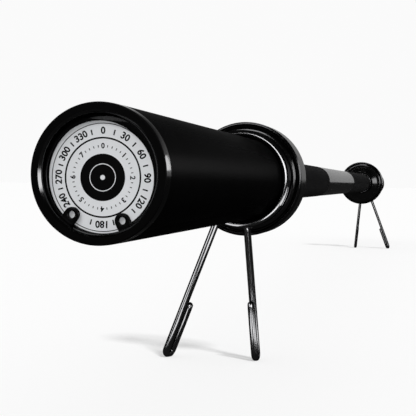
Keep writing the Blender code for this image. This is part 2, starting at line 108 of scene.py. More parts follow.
@dataclass(frozen=True)
class EndFrame:
    """The frame of one end of the bar."""

    side: Side
    tip: float
    axis_height: float

    def world(self, points: np.ndarray) -> np.ndarray:
        """Carry points from this end's frame into the world.

        The frame is turned half a turn about the vertical at the right end, and is then moved to the
        end face on the axis.

        Args:
            points: Rows of x, y, z in the end's frame.

        Returns:
            The same rows in the world.
        """
        way = self.side.value
        return points * np.array((way, way, 1.0)) + np.array((self.tip, 0.0, self.axis_height))

    def node(self, piece: str) -> str:
        """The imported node's name of one piece at this end."""
        return f"{self.side.word}_{piece}"


# Surfaces


def unit(rows: np.ndarray) -> np.ndarray:
    """Each row divided by its own length."""
    return rows / np.linalg.norm(rows, axis=-1, keepdims=True)


def rounded(
    corners: Sequence[tuple[float, float]], radius: float, steps: int = 4, closed: bool = True,
) -> np.ndarray:
    """Round the corners of an outline.

    Each corner gives way to an arc that touches both of its edges. The arc's centre lies on the
    corner's bisector, and its points are the two touching radii blended by sines of the share of
    the turn, which keeps them on the circle. An arc takes at most EDGE_SHARE of its shorter edge.

    Args:
        corners: The outline's corners in order.
        radius: The arcs' radius.
        steps: How many edges each arc has.
        closed: Whether the last corner joins the first. An open outline keeps its two ends.

    Returns:
        Rows of the rounded outline's points.
    """
    points = np.asarray(corners, float)
    before = np.roll(points, 1, 0) - points
    after = np.roll(points, -1, 0) - points
    shorter = np.minimum(np.linalg.norm(before, axis=1), np.linalg.norm(after, axis=1))
    to_before, to_after = unit(before), unit(after)
    half = np.arccos(np.clip((to_before * to_after).sum(1), -1.0, 1.0)) / 2.0
    half = np.clip(half, SHARPEST, FLATTEST)
    reach = np.minimum(radius / np.tan(half), EDGE_SHARE * shorter)
    centre = points + unit(to_before + to_after + NO_LENGTH) * (reach / np.cos(half))[:, None]
    first = points + to_before * reach[:, None] - centre
    last = points + to_after * reach[:, None] - centre
    turn = (math.pi - 2.0 * half)[:, None, None]
    share = np.linspace(0.0, 1.0, steps + 1)[None, :, None]
    blend = np.sin((1.0 - share) * turn) * first[:, None] + np.sin(share * turn) * last[:, None]
    arcs = centre[:, None] + blend / np.sin(turn)
    if closed:
        return arcs.reshape(-1, 2)
    return np.vstack((points[:1], arcs[1:-1].reshape(-1, 2), points[-1:]))


def supported(profile: np.ndarray, margin: float, closed: bool = True) -> np.ndarray:
    """Add a point near both ends of each long edge, so that smooth shading bends only there.

    Args:
        profile: Rows of outline points.
        margin: How far from an edge's ends the new points lie.
        closed: Whether the last point joins the first.

    Returns:
        The outline with the added points in their places.
    """
    ends = np.roll(profile, -1, 0)
    run = ends - profile
    length = np.linalg.norm(run, axis=1)
    long = length > LONG_EDGE * margin
    if not closed:
        long[-1] = False
    step = run / np.maximum(length, NO_LENGTH)[:, None] * margin
    order = 3 * np.arange(len(profile))
    rows = np.vstack((profile, (profile + step)[long], (ends - step)[long]))
    keys = np.concatenate((order, order[long] + 1, order[long] + 2))
    return rows[np.argsort(keys, kind="stable")]


def enclosed_volume(points: np.ndarray, faces: list[np.ndarray]) -> float:
    """Work out the volume inside a closed mesh.

    It is a sixth of the sum of the triple products of the triangles into which the faces fan out.

    Args:
        points: Rows of x, y, z.
        faces: Arrays of corner numbers, one array for each count of corners.

    Returns:
        The volume, below 0 where the faces point inwards.
    """
    total = 0.0
    for group in faces:
        first = points[group[:, 0]]
        for k in range(1, group.shape[1] - 1):
            cross = np.cross(points[group[:, k]], points[group[:, k + 1]])
            total += float((first * cross).sum())
    return total / 6.0


def make_mesh(
    name: str, points: np.ndarray, faces: list[np.ndarray], sharp: float, zones: np.ndarray | None = None,
) -> bpy.types.Mesh:
    """Put a closed surface into a mesh, with its faces outwards.

    Args:
        name: The mesh's name.
        points: Rows of x, y, z.
        faces: Arrays of corner numbers, one array for each count of corners.
        sharp: The angle in degrees past which an edge is sharp.
        zones: Each face's material number, in the order of the faces.

    Returns:
        The mesh, shaded smooth between its sharp edges.
    """
    if enclosed_volume(points, faces) < 0.0:
        faces = [group[:, ::-1] for group in faces]
    counts = np.concatenate([np.full(len(group), group.shape[1]) for group in faces])
    corners = np.concatenate([group.ravel() for group in faces]).astype(np.int32)
    mesh = bpy.data.meshes.new(name)
    mesh.vertices.add(len(points))
    mesh.vertices.foreach_set("co", points.astype(np.float32).ravel())
    mesh.loops.add(len(corners))
    mesh.loops.foreach_set("vertex_index", corners)
    mesh.polygons.add(len(counts))
    starts = np.concatenate(([0], np.cumsum(counts)[:-1]))
    mesh.polygons.foreach_set("loop_start", starts.astype(np.int32))
    if zones is not None:
        mesh.polygons.foreach_set("material_index", zones.astype(np.int32))
    mesh.update(calc_edges=True)
    mesh.validate()
    mesh.shade_smooth()
    mesh.set_sharp_from_angle(angle=math.radians(sharp))
    return mesh


def grid_quads(rows: int, columns: int, close_rows: bool) -> np.ndarray:
    """Corner numbers of the squares of a grid whose columns go round and join up.

    Args:
        rows: How many rows of points there are.
        columns: How many points each row has.
        close_rows: Whether the last row joins the first.

    Returns:
        Rows of four corner numbers.
    """
    row = np.arange(rows if close_rows else rows - 1)[:, None]
    column = np.arange(columns)[None, :]
    next_row = (row + 1) % rows
    next_column = (column + 1) % columns
    corners = (
        row * columns + column,
        next_row * columns + column,
        next_row * columns + next_column,
        row * columns + next_column,
    )
    return np.stack(np.broadcast_arrays(*corners), axis=-1).reshape(-1, 4)


def turned(
    name: str,
    profile: np.ndarray,
    place: EndFrame,
    around: int = 160,
    sharp: float = 35.0,
    zoner: Zoner | None = None,
) -> bpy.types.Object:
    """Turn a profile about the axis into a closed piece.

    A point of the surface is (x, -r sin a, -r cos a), where (x, r) runs along the profile and the
    angle a goes once round. A profile that starts and ends on the axis is closed there by fans of
    triangles, and any other joins its own start.

    Args:
        name: The piece's name.
        profile: Rows of (x, r) in the end's frame.
        place: The end that the piece belongs to.
        around: How many points go round.
        sharp: The angle in degrees past which an edge is sharp.
        zoner: Gives each face's material number from its x and r.

    Returns:
        The piece, in the world.
    """
    spindle = profile[0, 1] < ON_AXIS
    rings = profile[1:-1] if spindle else profile
    angle = np.linspace(0.0, math.tau, around, endpoint=False)
    x = np.broadcast_to(rings[:, :1], (len(rings), around))
    y = -rings[:, 1:] * np.sin(angle)
    z = -rings[:, 1:] * np.cos(angle)
    points = np.stack((x, y, z), axis=-1).reshape(-1, 3)
    faces = [grid_quads(len(rings), around, not spindle)]
    if spindle:
        poles = np.array([(profile[0, 0], 0.0, 0.0), (profile[-1, 0], 0.0, 0.0)])
        near, far = len(points), len(points) + 1
        one = np.arange(around)
        two = (one + 1) % around
        last = (len(rings) - 1) * around
        points = np.vstack((points, poles))
        faces.append(np.vstack((
            np.stack((np.full(around, near), one, two), axis=-1),
            np.stack((last + one, np.full(around, far), last + two), axis=-1),
        )))
    zones = None
    if zoner:
        centres = np.vstack([points[group].mean(axis=1) for group in faces])
        zones = zoner(centres[:, 0], np.linalg.norm(centres[:, 1:], axis=1))
    return show(name, make_mesh(name, place.world(points), faces, sharp, zones))


def swept(
    name: str, path: np.ndarray, radius: float, place: EndFrame, sides: int = 24, sharp: float = 60.0,
) -> bpy.types.Object:
    """Carry a circle along a path into a round wire with domed ends.

    The circle stands square to the path. Each step turns it by the least turn that brings the old
    direction to the new one. Over each end's last radius the circle shrinks as a quarter circle.

    Args:
        name: The piece's name.
        path: Rows of x, y, z in the end's frame.
        radius: The wire's radius.
        place: The end that the piece belongs to.
        sides: How many points go round the wire.
        sharp: The angle in degrees past which an edge is sharp.

    Returns:
        The piece, in the world, with nothing below the floor.
    """
    dome = np.radians(np.array(DOME_ANGLES))[:, None]
    start = path[0] + unit(path[0] - path[1]) * radius * (np.cos(dome) - DOME_SET_BACK)
    end = path[-1] + unit(path[-1] - path[-2]) * radius * (np.cos(dome[::-1]) - DOME_SET_BACK)
    centres = np.vstack((start, path[1:-1], end))
    widths = np.full(len(centres), radius)
    widths[:len(dome)] = radius * np.maximum(np.sin(dome[:, 0]), DOME_TIP)
    widths[-len(dome):] = widths[:len(dome)][::-1]
    ahead = unit(np.gradient(centres, axis=0))
    across = np.zeros_like(centres)
    across[0] = unit(np.cross(ahead[0], ASIDE))
    for k in range(1, len(centres)):
        carried = across[k - 1] - ahead[k] * (across[k - 1] @ ahead[k])
        across[k] = unit(carried)
    third = np.cross(ahead, across)
    angle = np.linspace(0.0, math.tau, sides, endpoint=False)[None, :, None]
    ring = np.cos(angle) * across[:, None] + np.sin(angle) * third[:, None]
    points = (centres[:, None] + widths[:, None, None] * ring).reshape(-1, 3)
    ends = [np.arange(sides)[None, :], (len(centres) - 1) * sides + np.arange(sides)[None, ::-1]]
    faces = [grid_quads(len(centres), sides, False)[:, ::-1], np.vstack(ends)]
    world = place.world(points)
    world[:, 2] = np.maximum(world[:, 2], 0.0)
    return show(name, make_mesh(name, world, faces, sharp))


def flat_plate(
    name: str, outlines: list[np.ndarray], thickness: float, bevel: float, bevel_steps: int = 2,
) -> bpy.types.Mesh:
    """Cut a plate with holes from sheet: a filled flat curve, extruded and given rounded edges.

    Args:
        name: The plate's name.
        outlines: The outer outline and then the holes, as rows of x and y.
        thickness: The plate's thickness, edges included.
        bevel: The radius of its edges, by which the outlines are drawn in.
        bevel_steps: How finely its edges are rounded.

    Returns:
        The plate as a mesh, in the plane of x and y, its middle at z 0.
    """
    curve = bpy.data.curves.new(name, "CURVE")
    curve.dimensions = "2D"
    curve.fill_mode = "BOTH"
    curve.extrude = thickness / 2.0 - bevel
    curve.bevel_depth = bevel
    curve.bevel_resolution = bevel_steps
    curve.offset = -bevel
    for outline in outlines:
        spline = curve.splines.new("POLY")
        spline.points.add(len(outline) - 1)
        rows = np.hstack((outline, np.zeros((len(outline), 1)), np.ones((len(outline), 1))))
        spline.points.foreach_set("co", rows.ravel())
        spline.use_cyclic_u = True
    return curve_mesh(name, curve)


def curve_mesh(name: str, curve: bpy.types.Curve) -> bpy.types.Mesh:
    """Make a curve or a text a mesh, closed along its doubled edges.

    Args:
        name: The mesh's name.
        curve: The curve or text.

    Returns:
        The mesh.
    """
    guide = bpy.data.objects.new(name + "_guide", curve)
    bpy.context.scene.collection.objects.link(guide)
    bpy.context.view_layer.update()
    evaluated = guide.evaluated_get(bpy.context.evaluated_depsgraph_get())
    mesh = merged(bpy.data.meshes.new_from_object(evaluated))
    bpy.data.objects.remove(guide)
    mesh.name = name
    return mesh


def merged(mesh: bpy.types.Mesh, distance: float = 1e-6) -> bpy.types.Mesh:
    """Merge a mesh's doubles and turn its faces outwards.

    Args:
        mesh: The mesh, which is changed in place.
        distance: How near to each other two points are one.

    Returns:
        The same mesh.
    """
    work = bmesh.new()
    work.from_mesh(mesh)
    bmesh.ops.remove_doubles(work, verts=work.verts, dist=distance)
    bmesh.ops.recalc_face_normals(work, faces=work.faces)
    work.to_mesh(mesh)
    work.free()
    return mesh


def mesh_points(mesh: bpy.types.Mesh) -> np.ndarray:
    """Read a mesh's points.

    Args:
        mesh: The mesh.

    Returns:
        Rows of x, y, z.
    """
    flat = np.empty(len(mesh.vertices) * 3, np.float32)
    mesh.vertices.foreach_get("co", flat)
    return flat.reshape(-1, 3).astype(float)


def show(name: str, data: bpy.types.ID) -> bpy.types.Object:
    """Put a mesh, a lamp or a camera into the scene, at the origin and unturned.

    Args:
        name: The object's name.
        data: What it shows.

    Returns:
        The object.
    """
    piece = bpy.data.objects.new(name, data)
    bpy.context.scene.collection.objects.link(piece)
    return piece


# Finishes


class Tree:
    """A node tree, with short words for the steps that the finishes, the floor and the world share."""

    def __init__(self, tree: bpy.types.NodeTree) -> None:
        """Keep the tree that the nodes go into."""
        self.tree = tree

    def add(self, kind: str, **settings: object) -> bpy.types.Node:
        """Add a node and set its properties.

        Args:
            kind: The node's type.
            **settings: Its properties by name.

        Returns:
            The node.
        """
        node = self.tree.nodes.new(kind)
        for key, value in settings.items():
            setattr(node, key, value)
        return node

    def join(self, value: object, socket: Socket) -> None:
        """Feed an input from an output, or write a number or a colour into it.

        Args:
            value: The output, number or colour.
            socket: The input.
        """
        if isinstance(value, Socket):
            self.tree.links.new(value, socket)
        else:
            socket.default_value = value

    def math(self, operation: str, *values: object) -> Socket:
        """Work out a number from others.

        Args:
            operation: What the Math node does with them.
            *values: Outputs or numbers.

        Returns:
            The result.
        """
        node = self.add("ShaderNodeMath", operation=operation)
        for socket, value in zip(node.inputs, values):
            self.join(value, socket)
        return node.outputs[0]

    def spread(
        self,
        factor: Socket,
        low: float,
        high: float,
        start: float = 0.3,
        end: float = 0.7,
        kind: str = "LINEAR",
    ) -> Socket:
        """Carry a factor's stretch from start to end onto low to high, and hold it outside.

        Args:
            factor: The factor.
            low: What start becomes.
            high: What end becomes.
            start: Where the stretch starts.
            end: Where the stretch ends.
            kind: How it runs between them, LINEAR or SMOOTHSTEP.

        Returns:
            The carried factor.
        """
        node = self.add("ShaderNodeMapRange", interpolation_type=kind)
        settings = {"From Min": start, "From Max": end, "To Min": low, "To Max": high, "Value": factor}
        for name, value in settings.items():
            self.join(value, node.inputs[name])
        return node.outputs["Result"]

    def switch(self, factor: Socket, low: object, high: object) -> Socket:
        """Blend two numbers by a factor.

        Args:
            factor: The factor.
            low: The number or output where the factor is 0.
            high: The number or output where the factor is 1.

        Returns:
            The blended number.
        """
        node = self.add("ShaderNodeMix")
        for number, value in ((0, factor), (2, low), (3, high)):
            self.join(value, node.inputs[number])
        return node.outputs[0]

    def tint(self, factor: Socket, low: object, high: object) -> Socket:
        """Blend two colours by a factor.

        Args:
            factor: The factor.
            low: The colour or output where the factor is 0.
            high: The colour or output where the factor is 1.

        Returns:
            The blended colour.
        """
        node = self.add("ShaderNodeMix", data_type="RGBA")
        for number, value in ((0, factor), (6, low), (7, high)):
            self.join((*value, 1.0) if isinstance(value, tuple) else value, node.inputs[number])
        return node.outputs[2]

    def mirrored(self, path: bpy.types.Node) -> Socket:
        """1 for a ray from a gloss or through glass, else 0, from a Light Path node."""
        return self.math("MAXIMUM", path.outputs["Is Glossy Ray"], path.outputs["Is Transmission Ray"])


class Surface(Tree):
    """A Principled material's tree, with the patterns that the finishes share."""

    def __init__(self, name: str, axis_height: float) -> None:
        """Start a material with an empty Principled surface.

        Args:
            name: The material's name.
            axis_height: How high the bar's axis lies.
        """
        self.material = bpy.data.materials.new(name)
        self.material.use_nodes = True
        super().__init__(self.material.node_tree)
        self.shader = self.tree.nodes["Principled BSDF"]
        self.axis_height = axis_height

    def from_axis(self) -> tuple[Socket, Socket, Socket]:
        """Find where a point lies from the bar's axis.

        Its distance is the square root of the sum of its squares across and up.

        Returns:
            Its place along the bar, its distance from the axis, and the point counted from the axis.
        """
        coordinates = self.add("ShaderNodeTexCoord")
        moved = self.add("ShaderNodeMapping")
        self.join((0.0, 0.0, -self.axis_height), moved.inputs["Location"])
        self.join(coordinates.outputs["Object"], moved.inputs["Vector"])
        parts = self.add("ShaderNodeSeparateXYZ")
        self.join(moved.outputs[0], parts.inputs[0])
        across = self.math("MULTIPLY", parts.outputs["Y"], parts.outputs["Y"])
        up = self.math("MULTIPLY", parts.outputs["Z"], parts.outputs["Z"])
        radius = self.math("SQRT", self.math("ADD", across, up))
        return parts.outputs["X"], radius, moved.outputs[0]

    def noise(self, vector: Socket, scale: float, detail: float = 3.0) -> Socket:
        """Make noise about 0.5.

        Args:
            vector: Where it is read.
            scale: How many ups and downs it has in a metre.
            detail: How many finer layers it has.

        Returns:
            The noise.
        """
        node = self.add("ShaderNodeTexNoise")
        for name, value in (("Scale", scale), ("Detail", detail), ("Vector", vector)):
            self.join(value, node.inputs[name])
        return node.outputs["Fac"]

    def lathe_rings(self, per_metre: float) -> Socket:
        """Make noise that changes only along the bar and away from its axis, as a lathe leaves it.

        Args:
            per_metre: How many rings there are in a metre.

        Returns:
            The noise.
        """
        along, radius, _ = self.from_axis()
        joined = self.add("ShaderNodeCombineXYZ")
        self.join(along, joined.inputs["X"])
        self.join(radius, joined.inputs["Y"])
        return self.noise(joined.outputs[0], per_metre, detail=4.0)

    def bump(self, height: Socket, depth: float) -> None:
        """Bend the surface's normal.

        Args:
            height: The height, from 0 to 1.
            depth: What 1 is in metres.
        """
        node = self.add("ShaderNodeBump")
        for name, value in (("Strength", 1.0), ("Distance", depth), ("Height", height)):
            self.join(value, node.inputs[name])
        self.join(node.outputs[0], self.shader.inputs["Normal"])


@dataclass(frozen=True)
class Finish:
    """A surface finish: its colour, how it scatters light, and its fine grain.

    metallic is the share that reflects like metal, and edge how much of its glare is left where
    the surface is seen at a flat angle. coat is the share of a clear coat over it, which only such
    angles show. grain is how many ups and downs the grain has in a metre, and lathe tells whether
    they run round the bar, as turning leaves them, or lie every way.
    """

    name: str
    slot: str
    colour: Colour
    roughness: float
    metallic: float = 0.0
    specular: float = 0.0
    edge: float = 1.0
    coat: float = 0.0
    coat_roughness: float = 0.28
    grain: float = 900.0
    depth: float = 4e-6
    lathe: bool = False
    change: float = 0.15
    mottle: float = 60.0

    def material(self, axis_height: float) -> bpy.types.Material:
        """Build the finish's material, or give back the one already built.

        The grain bends the normal and moves the roughness by a share. A slow mottle moves the
        colour by the same share, so that no stretch is one flat colour.

        Args:
            axis_height: How high the bar's axis lies, which centres the lathe rings.

        Returns:
            The material.
        """
        if self.name in bpy.data.materials:
            return bpy.data.materials[self.name]
        surface = Surface(self.name, axis_height)
        inputs = surface.shader.inputs
        inputs["Metallic"].default_value = self.metallic
        inputs["Specular IOR Level"].default_value = self.specular
        inputs["Specular Tint"].default_value = (self.edge, self.edge, self.edge, 1.0)
        inputs["Coat Weight"].default_value = self.coat
        inputs["Coat Roughness"].default_value = self.coat_roughness
        _, radius, point = surface.from_axis()
        grain = surface.lathe_rings(self.grain) if self.lathe else surface.noise(point, self.grain)
        mottle = surface.spread(surface.noise(point, self.mottle, detail=5.0), 0.0, 1.0)
        less, more = 1.0 - self.change, 1.0 + self.change
        low = tuple(share * less for share in self.colour)
        high = tuple(min(1.0, share * more) for share in self.colour)
        surface.join(self.worn(surface, surface.tint(mottle, low, high), radius), inputs["Base Color"])
        rough = surface.spread(grain, self.roughness * less, self.roughness * more)
        surface.join(rough, inputs["Roughness"])
        surface.bump(grain, self.depth)
        return surface.material

    def worn(self, surface: Surface, colour: Socket, radius: Socket) -> Socket:
        """The mottled colour as it is: a plain finish isn't worn."""
        return colour


@dataclass(frozen=True)
class KnurlFinish(Finish):
    """A coat over knurling, worn lighter on the points than in the roots."""

    root: float = 0.0146
    crest: float = 0.0150
    crest_colour: Colour = (0.05, 0.05, 0.05)

    def worn(self, surface: Surface, colour: Socket, radius: Socket) -> Socket:
        """Blend from the coat's colour at the roots to the worn colour at the points.

        The worn share is the cube of the height between root and point.

        Args:
            surface: The material's tree.
            colour: The coat's colour.
            radius: The distance from the bar's axis.

        Returns:
            The blended colour.
        """
        height = surface.spread(radius, 0.0, 1.0, self.root, self.crest)
        return surface.tint(surface.math("POWER", height, 3.0), colour, self.crest_colour)


SLEEVE_COAT = Finish(
    "sleeve_satin_black", "sleeve_black", (0.0042, 0.0042, 0.0043), 0.42, metallic=0.5, edge=0.0,
    coat=0.014, grain=1500.0, depth=2e-6, change=0.12,
)
MOUTH_GLOSS = Finish(
    "mouth_gloss_black", "sleeve_black", (0.08, 0.08, 0.081), 0.12, metallic=1.0, edge=0.45,
    grain=2500.0, depth=1e-6, lathe=True,
)
KNURLED = KnurlFinish(
    "knurled_black_steel", "shaft_steel", (0.011, 0.011, 0.0115), 0.5, metallic=0.5, edge=0.1,
    grain=2000.0, depth=3e-6,
)
GROUND = Finish(
    "ground_satin_steel", "shaft_steel", (0.06, 0.06, 0.061), 0.2, metallic=1.0, edge=0.32,
    grain=700.0, depth=3e-6, change=0.15, mottle=500.0,
)
JOURNAL = Finish(
    "turned_journal_steel", "shaft_steel", (0.35, 0.35, 0.36), 0.3, metallic=1.0, grain=2600.0,
    depth=1.5e-6, lathe=True,
)
FLANGE_FACE = Finish(
    "flange_gloss_black", "flange_black", (0.07, 0.07, 0.071), 0.14, metallic=1.0, edge=0.35,
    grain=900.0, depth=2e-6,
)
FLANGE_RIM = Finish(
    "flange_satin_rim", "flange_black", (0.045, 0.045, 0.046), 0.22, metallic=1.0, edge=0.3, grain=2200.0,
    depth=2e-6, lathe=True,
)
RING_STEEL = Finish(
    "blackened_ring_steel", "ring_black", (0.035, 0.035, 0.036), 0.24, metallic=1.0, edge=0.3,
    grain=2000.0, depth=2e-6,
)
SPRING_WIRE = Finish(
    "black_spring_wire", "spring_steel", (0.18, 0.18, 0.184), 0.13, metallic=1.0, edge=0.35,
    grain=1200.0, depth=2e-6,
)
DISC_FACE = Finish(
    "printed_disc_face", "disc_print", (0.80, 0.815, 0.835), 0.32, specular=0.4, grain=4000.0,
    depth=1e-6, lathe=True, change=0.03,
)
DISC_INK = Finish(
    "printed_disc_ink", "disc_print", (0.006, 0.006, 0.006), 0.4, metallic=0.5, edge=0.0,
    grain=2500.0, depth=1e-6,
)
PLUG_PLASTIC = Finish(
    "moulded_plug", "plug_plastic", (0.01, 0.01, 0.01), 0.55, specular=0.3, grain=1800.0,
    depth=5e-6,
)
BUSHING_BRONZE = Finish(
    "bearing_bronze", "bronze", (0.55, 0.36, 0.16), 0.32, metallic=1.0, grain=1800.0,
    depth=2e-6, lathe=True,
)
WASHER_STEEL = Finish(
    "plain_washer_steel", "plain_steel", (0.55, 0.55, 0.56), 0.32, metallic=1.0, grain=1800.0,
    depth=2e-6, lathe=True,
)


def dress(piece: bpy.types.Object, axis_height: float, *finishes: Finish) -> None:
    """Give a piece its finishes.

    Args:
        piece: The piece.
        axis_height: How high the bar's axis lies.
        *finishes: Its finishes in the order of its zones.
    """
    slots = piece.data.materials
    for number, finish in enumerate(finishes):
        if number < len(slots):
            slots[number] = finish.material(axis_height)
        else:
            slots.append(finish.material(axis_height))


def hand_over(piece: bpy.types.Object, body: str, node: str | None = None) -> None:
    """Let a piece ride on a body, and report it.

    Args:
        piece: The piece.
        body: The body.
        node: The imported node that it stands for, if it has one.
    """
    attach(piece, body)
    if node:
        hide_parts(node)
    LOG.info("%s: %d faces, rides on %s", piece.name, len(piece.data.polygons), body)


# Sub-assemblies


class ShaftZone(Enum):
    """The shaft's finishes, in the order in which it is given them."""

    KNURLED = 0
    GROUND = 1
    JOURNAL = 2


@dataclass
class Shaft:
    """The one-piece shaft: journals inside the sleeves, two knurled grips and the smooth middle.

    The knurling stops at land_end, the journal starts at the shoulder, and the groove is the
    retaining ring's. The centre is the small cone that a lathe's centre leaves in each end.
    """

    half_length: float
    axis_height: float
    grip_radius: float
    shoulder: float
    land_end: float
    groove_start: float
    groove_end: float
    smooth_radius: float = 0.0148
    journal_radius: float = 0.0135
    smooth_half: float = 0.150
    grip_bevel: float = 0.0006
    knurl_depth: float = 0.0004
    diamonds_around: int = 72
    diamond_length: float = 0.00226
    groove_depth: float = 0.0008
    end_chamfer: float = 0.0010
    centre_radius: float = 0.0030
    centre_depth: float = 0.0050
    centre_tip: float = 0.0004
    corner: float = 0.0003
    hair: float = 1e-6
    sharp: float = 24.0

    def plain_rows(self, corners: list[tuple[float, float]]) -> np.ndarray:
        """Rows of (x, r) for an unknurled stretch, with its corners a little rounded."""
        outline = rounded(corners, self.corner, steps=2, closed=False)
        return supported(outline, EDGE_MARGIN, closed=False)

    def knurl_rows(self) -> tuple[np.ndarray, np.ndarray]:
        """Places along one grip at which the diamonds' points and roots lie, half a diamond apart.

        Returns:
            The places, from the middle of the bar outwards, and each row's number.
        """
        start = self.smooth_half + self.grip_bevel
        length = self.land_end - self.grip_bevel - start
        count = 2 * round(length / self.diamond_length)
        return start + np.linspace(0.0, length, count + 1), np.arange(count + 1)

    def build(self) -> bpy.types.Object:
        """Build the shaft as one grid of rows along it and columns round it.

        On a grip, a point of the grid is a diamond's point where row plus column is even and a
        root where it is odd, and each square is split between its two roots. Elsewhere the rows
        are plain circles and the squares stay whole.

        Returns:
            The shaft's piece.
        """
        columns = 2 * self.diamonds_around
        places, numbers = self.knurl_rows()
        tip, journal, smooth = self.half_length, self.journal_radius, self.smooth_radius
        middle = self.plain_rows([(0.0, smooth), (self.smooth_half, smooth)])
        groove = journal - self.groove_depth
        outer = self.plain_rows([
            (self.land_end, smooth), (self.shoulder, smooth), (self.shoulder, journal),
            (self.groove_start, journal), (self.groove_start, groove), (self.groove_end, groove),
            (self.groove_end, journal), (tip - self.end_chamfer, journal), (tip, journal - self.end_chamfer),
            (tip, self.centre_radius), (tip - self.centre_depth, self.centre_tip),
        ])
        knurl = np.stack((places, np.full(len(places), self.grip_radius)), axis=-1)
        half = np.vstack((middle[1:], knurl, outer))
        parity = np.concatenate((np.full(len(middle) - 1, -1), numbers % 2, np.full(len(outer), -1)))
        grip_ends = [len(middle) - 1, len(middle) - 2 + len(places)]
        parity[grip_ends] = -1
        half[grip_ends, 1] = smooth
        rows = np.vstack((half[::-1] * (-1.0, 1.0), half))
        parity = np.concatenate((parity[::-1], parity))
        angle = np.linspace(0.0, math.tau, columns, endpoint=False)
        column = np.arange(columns)[None, :]
        root = (parity[:, None] >= 0) & ((parity[:, None] + column) % 2 == 1)
        radius = rows[:, 1:] - np.where(root, self.knurl_depth, 0.0)
        x = np.broadcast_to(rows[:, :1], radius.shape)
        points = np.stack((x, -radius * np.sin(angle), self.axis_height - radius * np.cos(angle)), axis=-1)
        faces, zones = self.faces(parity, rows, columns)
        mesh = make_mesh("shaft_turned", points.reshape(-1, 3), faces, self.sharp, zones)
        return show("shaft_turned", mesh)

    def faces(
        self, parity: np.ndarray, rows: np.ndarray, columns: int,
    ) -> tuple[list[np.ndarray], np.ndarray]:
        """Squares on plain rows, split squares on knurled ones, and a disc at each end.

        Args:
            parity: Each row's number modulo 2 on a grip, and -1 elsewhere.
            rows: The rows' (x, r).
            columns: How many points go round.

        Returns:
            The faces by their count of corners, and their material numbers.
        """
        squares = grid_quads(len(rows), columns, False)
        row = np.repeat(np.arange(len(rows) - 1), columns)
        column = np.tile(np.arange(columns), len(rows) - 1)
        knurled = (parity[row] >= 0) | (parity[row + 1] >= 0)
        number = np.where(parity[row] >= 0, parity[row], 1 - parity[row + 1])
        even = (number + column) % 2 == 0
        a, b, c, d = squares[knurled].T
        even = even[knurled]
        first = np.where(even[:, None], np.stack((a, b, d), -1), np.stack((a, b, c), -1))
        second = np.where(even[:, None], np.stack((b, c, d), -1), np.stack((a, c, d), -1))
        place = np.abs(rows[:, 0])
        low, high = self.shoulder - self.hair, self.shoulder + self.hair
        on_journal = (place[row] > low) | (place[row + 1] > high)
        zone = np.where(on_journal, ShaftZone.JOURNAL.value, ShaftZone.GROUND.value)
        ends = np.vstack((np.arange(columns)[::-1], (len(rows) - 1) * columns + np.arange(columns)))
        triangles = np.vstack((first, second))
        zones = np.concatenate((
            np.full(len(triangles), ShaftZone.KNURLED.value),
            zone[~knurled],
            np.full(len(ends), ShaftZone.JOURNAL.value),
        ))
        return [triangles, squares[~knurled], ends], zones

    def dress(self) -> None:
        """Build the shaft, give it its three finishes and hand it over."""
        piece = self.build()
        dress(piece, self.axis_height, KNURLED, GROUND, JOURNAL)
        hand_over(piece, "shaft", "shaft")


